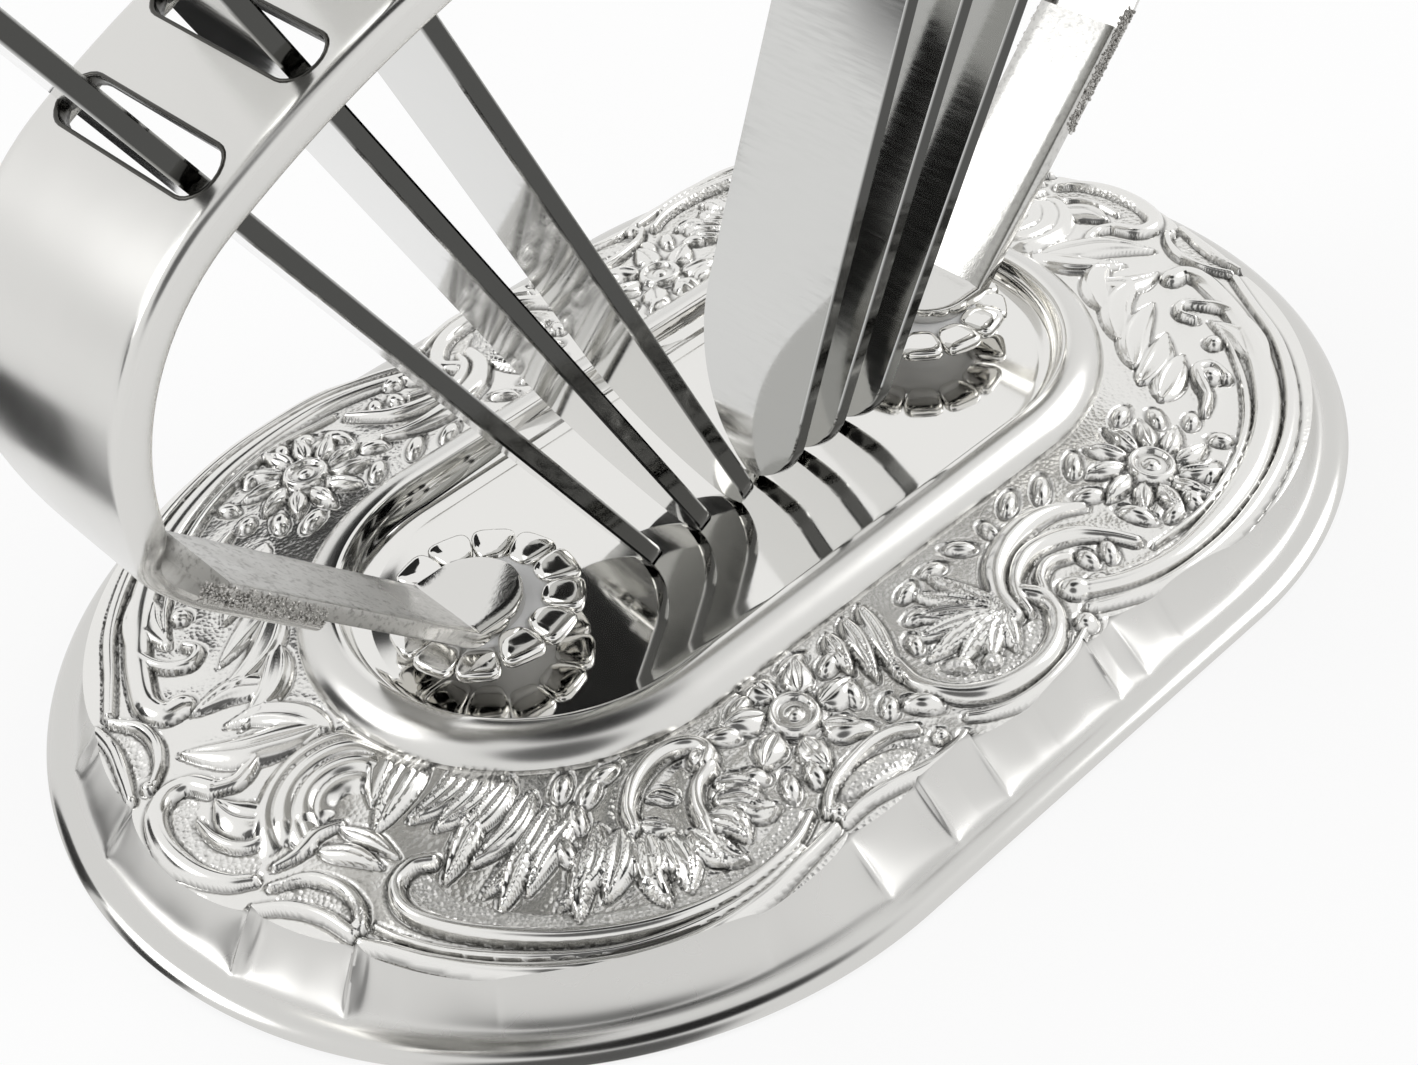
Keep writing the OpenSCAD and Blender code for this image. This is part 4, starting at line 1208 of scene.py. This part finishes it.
def handle_half(s):
    """Half thickness of the handle: it swells to 4.2 mm and then closes in a round end."""
    if s < HANDLE_ROUND:
        return 2.6 + 1.6 * (s / HANDLE_ROUND) ** 1.4
    return 4.2 * math.sqrt(max(0.0004, 1 - ((s - HANDLE_ROUND) / 0.2) ** 2))


# %% Set the knives in their slots
blade_rows = blade_points()
blade = loft(blade_rows)
bolster = loft(lens_rows([(91.6, 0.9), (92.0, 1.2), (93.4, 2.0), (94.8, 2.6), (97.2, 2.6), (98.4, 2.45), (99.0, 2.3)]))
shares = np.concatenate([np.linspace(0.02, HANDLE_ROUND, 30),
                         HANDLE_ROUND + 0.2 * np.sin(np.linspace(0.1, math.pi / 2, 16))])
handle = loft(lens_rows([(99.0, 2.3), (99.3, 2.6)]
                        + [(HANDLE_START + HANDLE_LONG * s, handle_half(s)) for s in shares]))
steel_points = np.vstack([blade[0], bolster[0]])
steel_faces = blade[1] + [[i + len(blade[0]) for i in f] for f in bolster[1]]
# The first two points of every section of the blade are its back.
# Painted reflection: these points of the back are painted dark.
back = [1.0 if i < len(blade[0]) and i % blade_rows.shape[1] < 2 else 0.0 for i in range(len(steel_points))]
for n in range(1, 7):
    _, tip, thick, along = knife_frame(n)
    axes = np.stack([thick, [0, 1, 0], along])
    body = f"knife_{n}"
    ground = piece(f"blade_{n}_ground", steel_points @ axes + tip, steel_faces, STEEL, body,
                   [f"blade_{n}"], 30, closed=True)
    keep_fields(ground, spine=back)
    piece(f"handle_{n}_hollow", handle[0] @ axes + tip, handle[1], SILVER, body,
          [f"handle_{n}"], 40, closed=True)

# %% [markdown]
# ## Screws
# The two fixing screws under the base keep their CAD shape and only get their metal.

# %% Screws
for name in ("screw_left", "screw_right"):
    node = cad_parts[name]
    node.data.materials.clear()
    node.data.materials.append(BRASS)
    print(name, "keeps its CAD shape")

# %% [markdown]
# ## Table, light and camera
# The photograph is taken on a white table in bright, even light. White all round would leave
# polished metal without any drawing, so the room has dark spots: the ceiling, a doorway at the
# far left and the person behind the camera. Two black cards, which the camera does not
# see, stand beside the stand: the blades and their mirror images find them.


# %% Table and light
def white_table():
    """White paper: matt, with a slight unevenness of tone."""
    made, tree, place = new_material("paper_white")
    tone = mixed(tree, noise(tree, place, 6.0), "FAFAFA", "F4F4F4")
    paper = add(tree, "ShaderNodeBsdfPrincipled", {"Base Color": tone, "Roughness": 0.9})
    # Seen by the camera or in a mirror the paper is nearly pure white, with a trace of its shadow.
    path = add(tree, "ShaderNodeLightPath").outputs
    seen = maths(tree, "MAXIMUM", path["Is Camera Ray"], path["Is Glossy Ray"])
    glow = add(tree, "ShaderNodeEmission", {"Color": (1, 1, 1, 1), "Strength": 1.0})
    both = add(tree, "ShaderNodeMixShader", {0: maths(tree, "MULTIPLY", seen, 0.8), 1: paper.outputs["BSDF"],
                                             2: glow.outputs["Emission"]})
    add(tree, "ShaderNodeOutputMaterial", {"Surface": both.outputs["Shader"]})
    return made


bpy.ops.mesh.primitive_grid_add(x_subdivisions=4, y_subdivisions=4, size=1.3, location=(0, 0, -0.0002))
table = bpy.context.object
table.name = "table"
table.data.materials.append(white_table())
table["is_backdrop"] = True


def card_black():
    """Black card: matt, with a slight fibre."""
    made, tree, place = new_material("card_black")
    tone = mixed(tree, noise(tree, place, 400.0), "0C0C0C", "2A2A2A")
    matt = add(tree, "ShaderNodeBsdfPrincipled", {"Base Color": tone, "Roughness": 0.9})
    add(tree, "ShaderNodeOutputMaterial", {"Surface": matt.outputs["BSDF"]})
    return made


CARD = card_black()


def dark_card(name, corners):
    """A black card beside the stand, seen only in mirrors; its corners are in millimetres."""
    mesh = bpy.data.meshes.new(name)
    mesh.from_pydata((np.array(corners) * 0.001).tolist(), [], [range(len(corners))])
    mesh.materials.append(CARD)
    card = placed(name, mesh)
    card.visible_camera = card.visible_shadow = card.visible_diffuse = False
    card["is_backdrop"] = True


dark_card("card_left", [(-102.3, 49, 0), (-85.7, 69, 0), (-85.7, 69, 33), (-102.3, 49, 33)])
dark_card("card_back", [(-38, 57, 24), (-6, 57, 24), (-6, 57, 62), (-22, 57, 62), (-30, 57, 42), (-38, 57, 36)])


def lamp(name, place, target, size, power):
    light = bpy.data.lights.new(name, "AREA")
    light.shape, light.size, light.energy = "DISK", size, power
    made = placed(name, light)
    made.location = place
    made.rotation_euler = (Vector(target) - Vector(place)).to_track_quat("-Z", "Y").to_euler()


lamp("window", (-0.75, 0.55, 0.65), (0, 0, 0.03), 0.6, 2)
lamp("side", (0.8, -0.35, 0.6), (0, 0, 0.03), 0.6, 2)

world = bpy.data.worlds.new("studio")
bpy.context.scene.world = world
world.use_nodes = True
sky = world.node_tree
sky.nodes.clear()
way = add(sky, "ShaderNodeTexCoord").outputs["Generated"]


def dark_spot(direction, outer, inner, depth):
    """A soft dark spot of the white room in one direction."""
    toward = add(sky, "ShaderNodeVectorMath", {0: way, 1: direction}, operation="DOT_PRODUCT").outputs["Value"]
    return ranged(sky, toward, outer, inner, 1.0, depth, interpolation_type="SMOOTHSTEP")


ceiling = dark_spot((0.03, -0.1, 0.994), 0.92, 0.975, 0.02)
doorway = dark_spot((-0.765, 0.585, 0.27), 0.980, 0.989, 0.03)
viewer = dark_spot((-0.48, -0.57, 0.67), 0.90, 0.965, 0.12)
dark = maths(sky, "MULTIPLY", maths(sky, "MULTIPLY", ceiling, doorway), viewer)
# The camera itself sees white in every direction.
white = maths(sky, "MAXIMUM", dark, add(sky, "ShaderNodeLightPath").outputs["Is Camera Ray"])
room = add(sky, "ShaderNodeBackground", {"Color": (1, 1, 1, 1), "Strength": white})
add(sky, "ShaderNodeOutputWorld", {"Surface": room.outputs["Background"]})

# %% [markdown]
# The camera was solved from the photograph: it looks down at 42 degrees from the left front,
# close to the stand, and the frame cuts off the top of the hoop and the handles.

# %% Camera and view
camera = placed("camera", bpy.data.cameras.new("camera"))
# Columns of the camera's matrix: right, up, back and place in metres.
RIGHT, UP = (0.71551, -0.69411, -0.07903), (0.50723, 0.43838, 0.74199)
BACK, EYE = (-0.48038, -0.57099, 0.66574), (-0.102699, -0.119517, 0.139262)
camera.matrix_world = Matrix([*zip(RIGHT, UP, BACK, EYE), (0, 0, 0, 1)])
# Focal length and width of the picture in pixels, width of the sensor in mm.
FOCAL, PICTURE, SENSOR = 2115.53, 1418, 36.0
camera.data.sensor_width, camera.data.lens = SENSOR, FOCAL / PICTURE * SENSOR
camera.data.clip_start, camera.data.clip_end = 0.005, 50.0
bpy.context.scene.camera = camera
bpy.context.scene.view_settings.view_transform = "Standard"

# %% Measure
low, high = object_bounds()
print("visual box in mm:", [round(v * 1000, 1) for v in (*low, *high)])
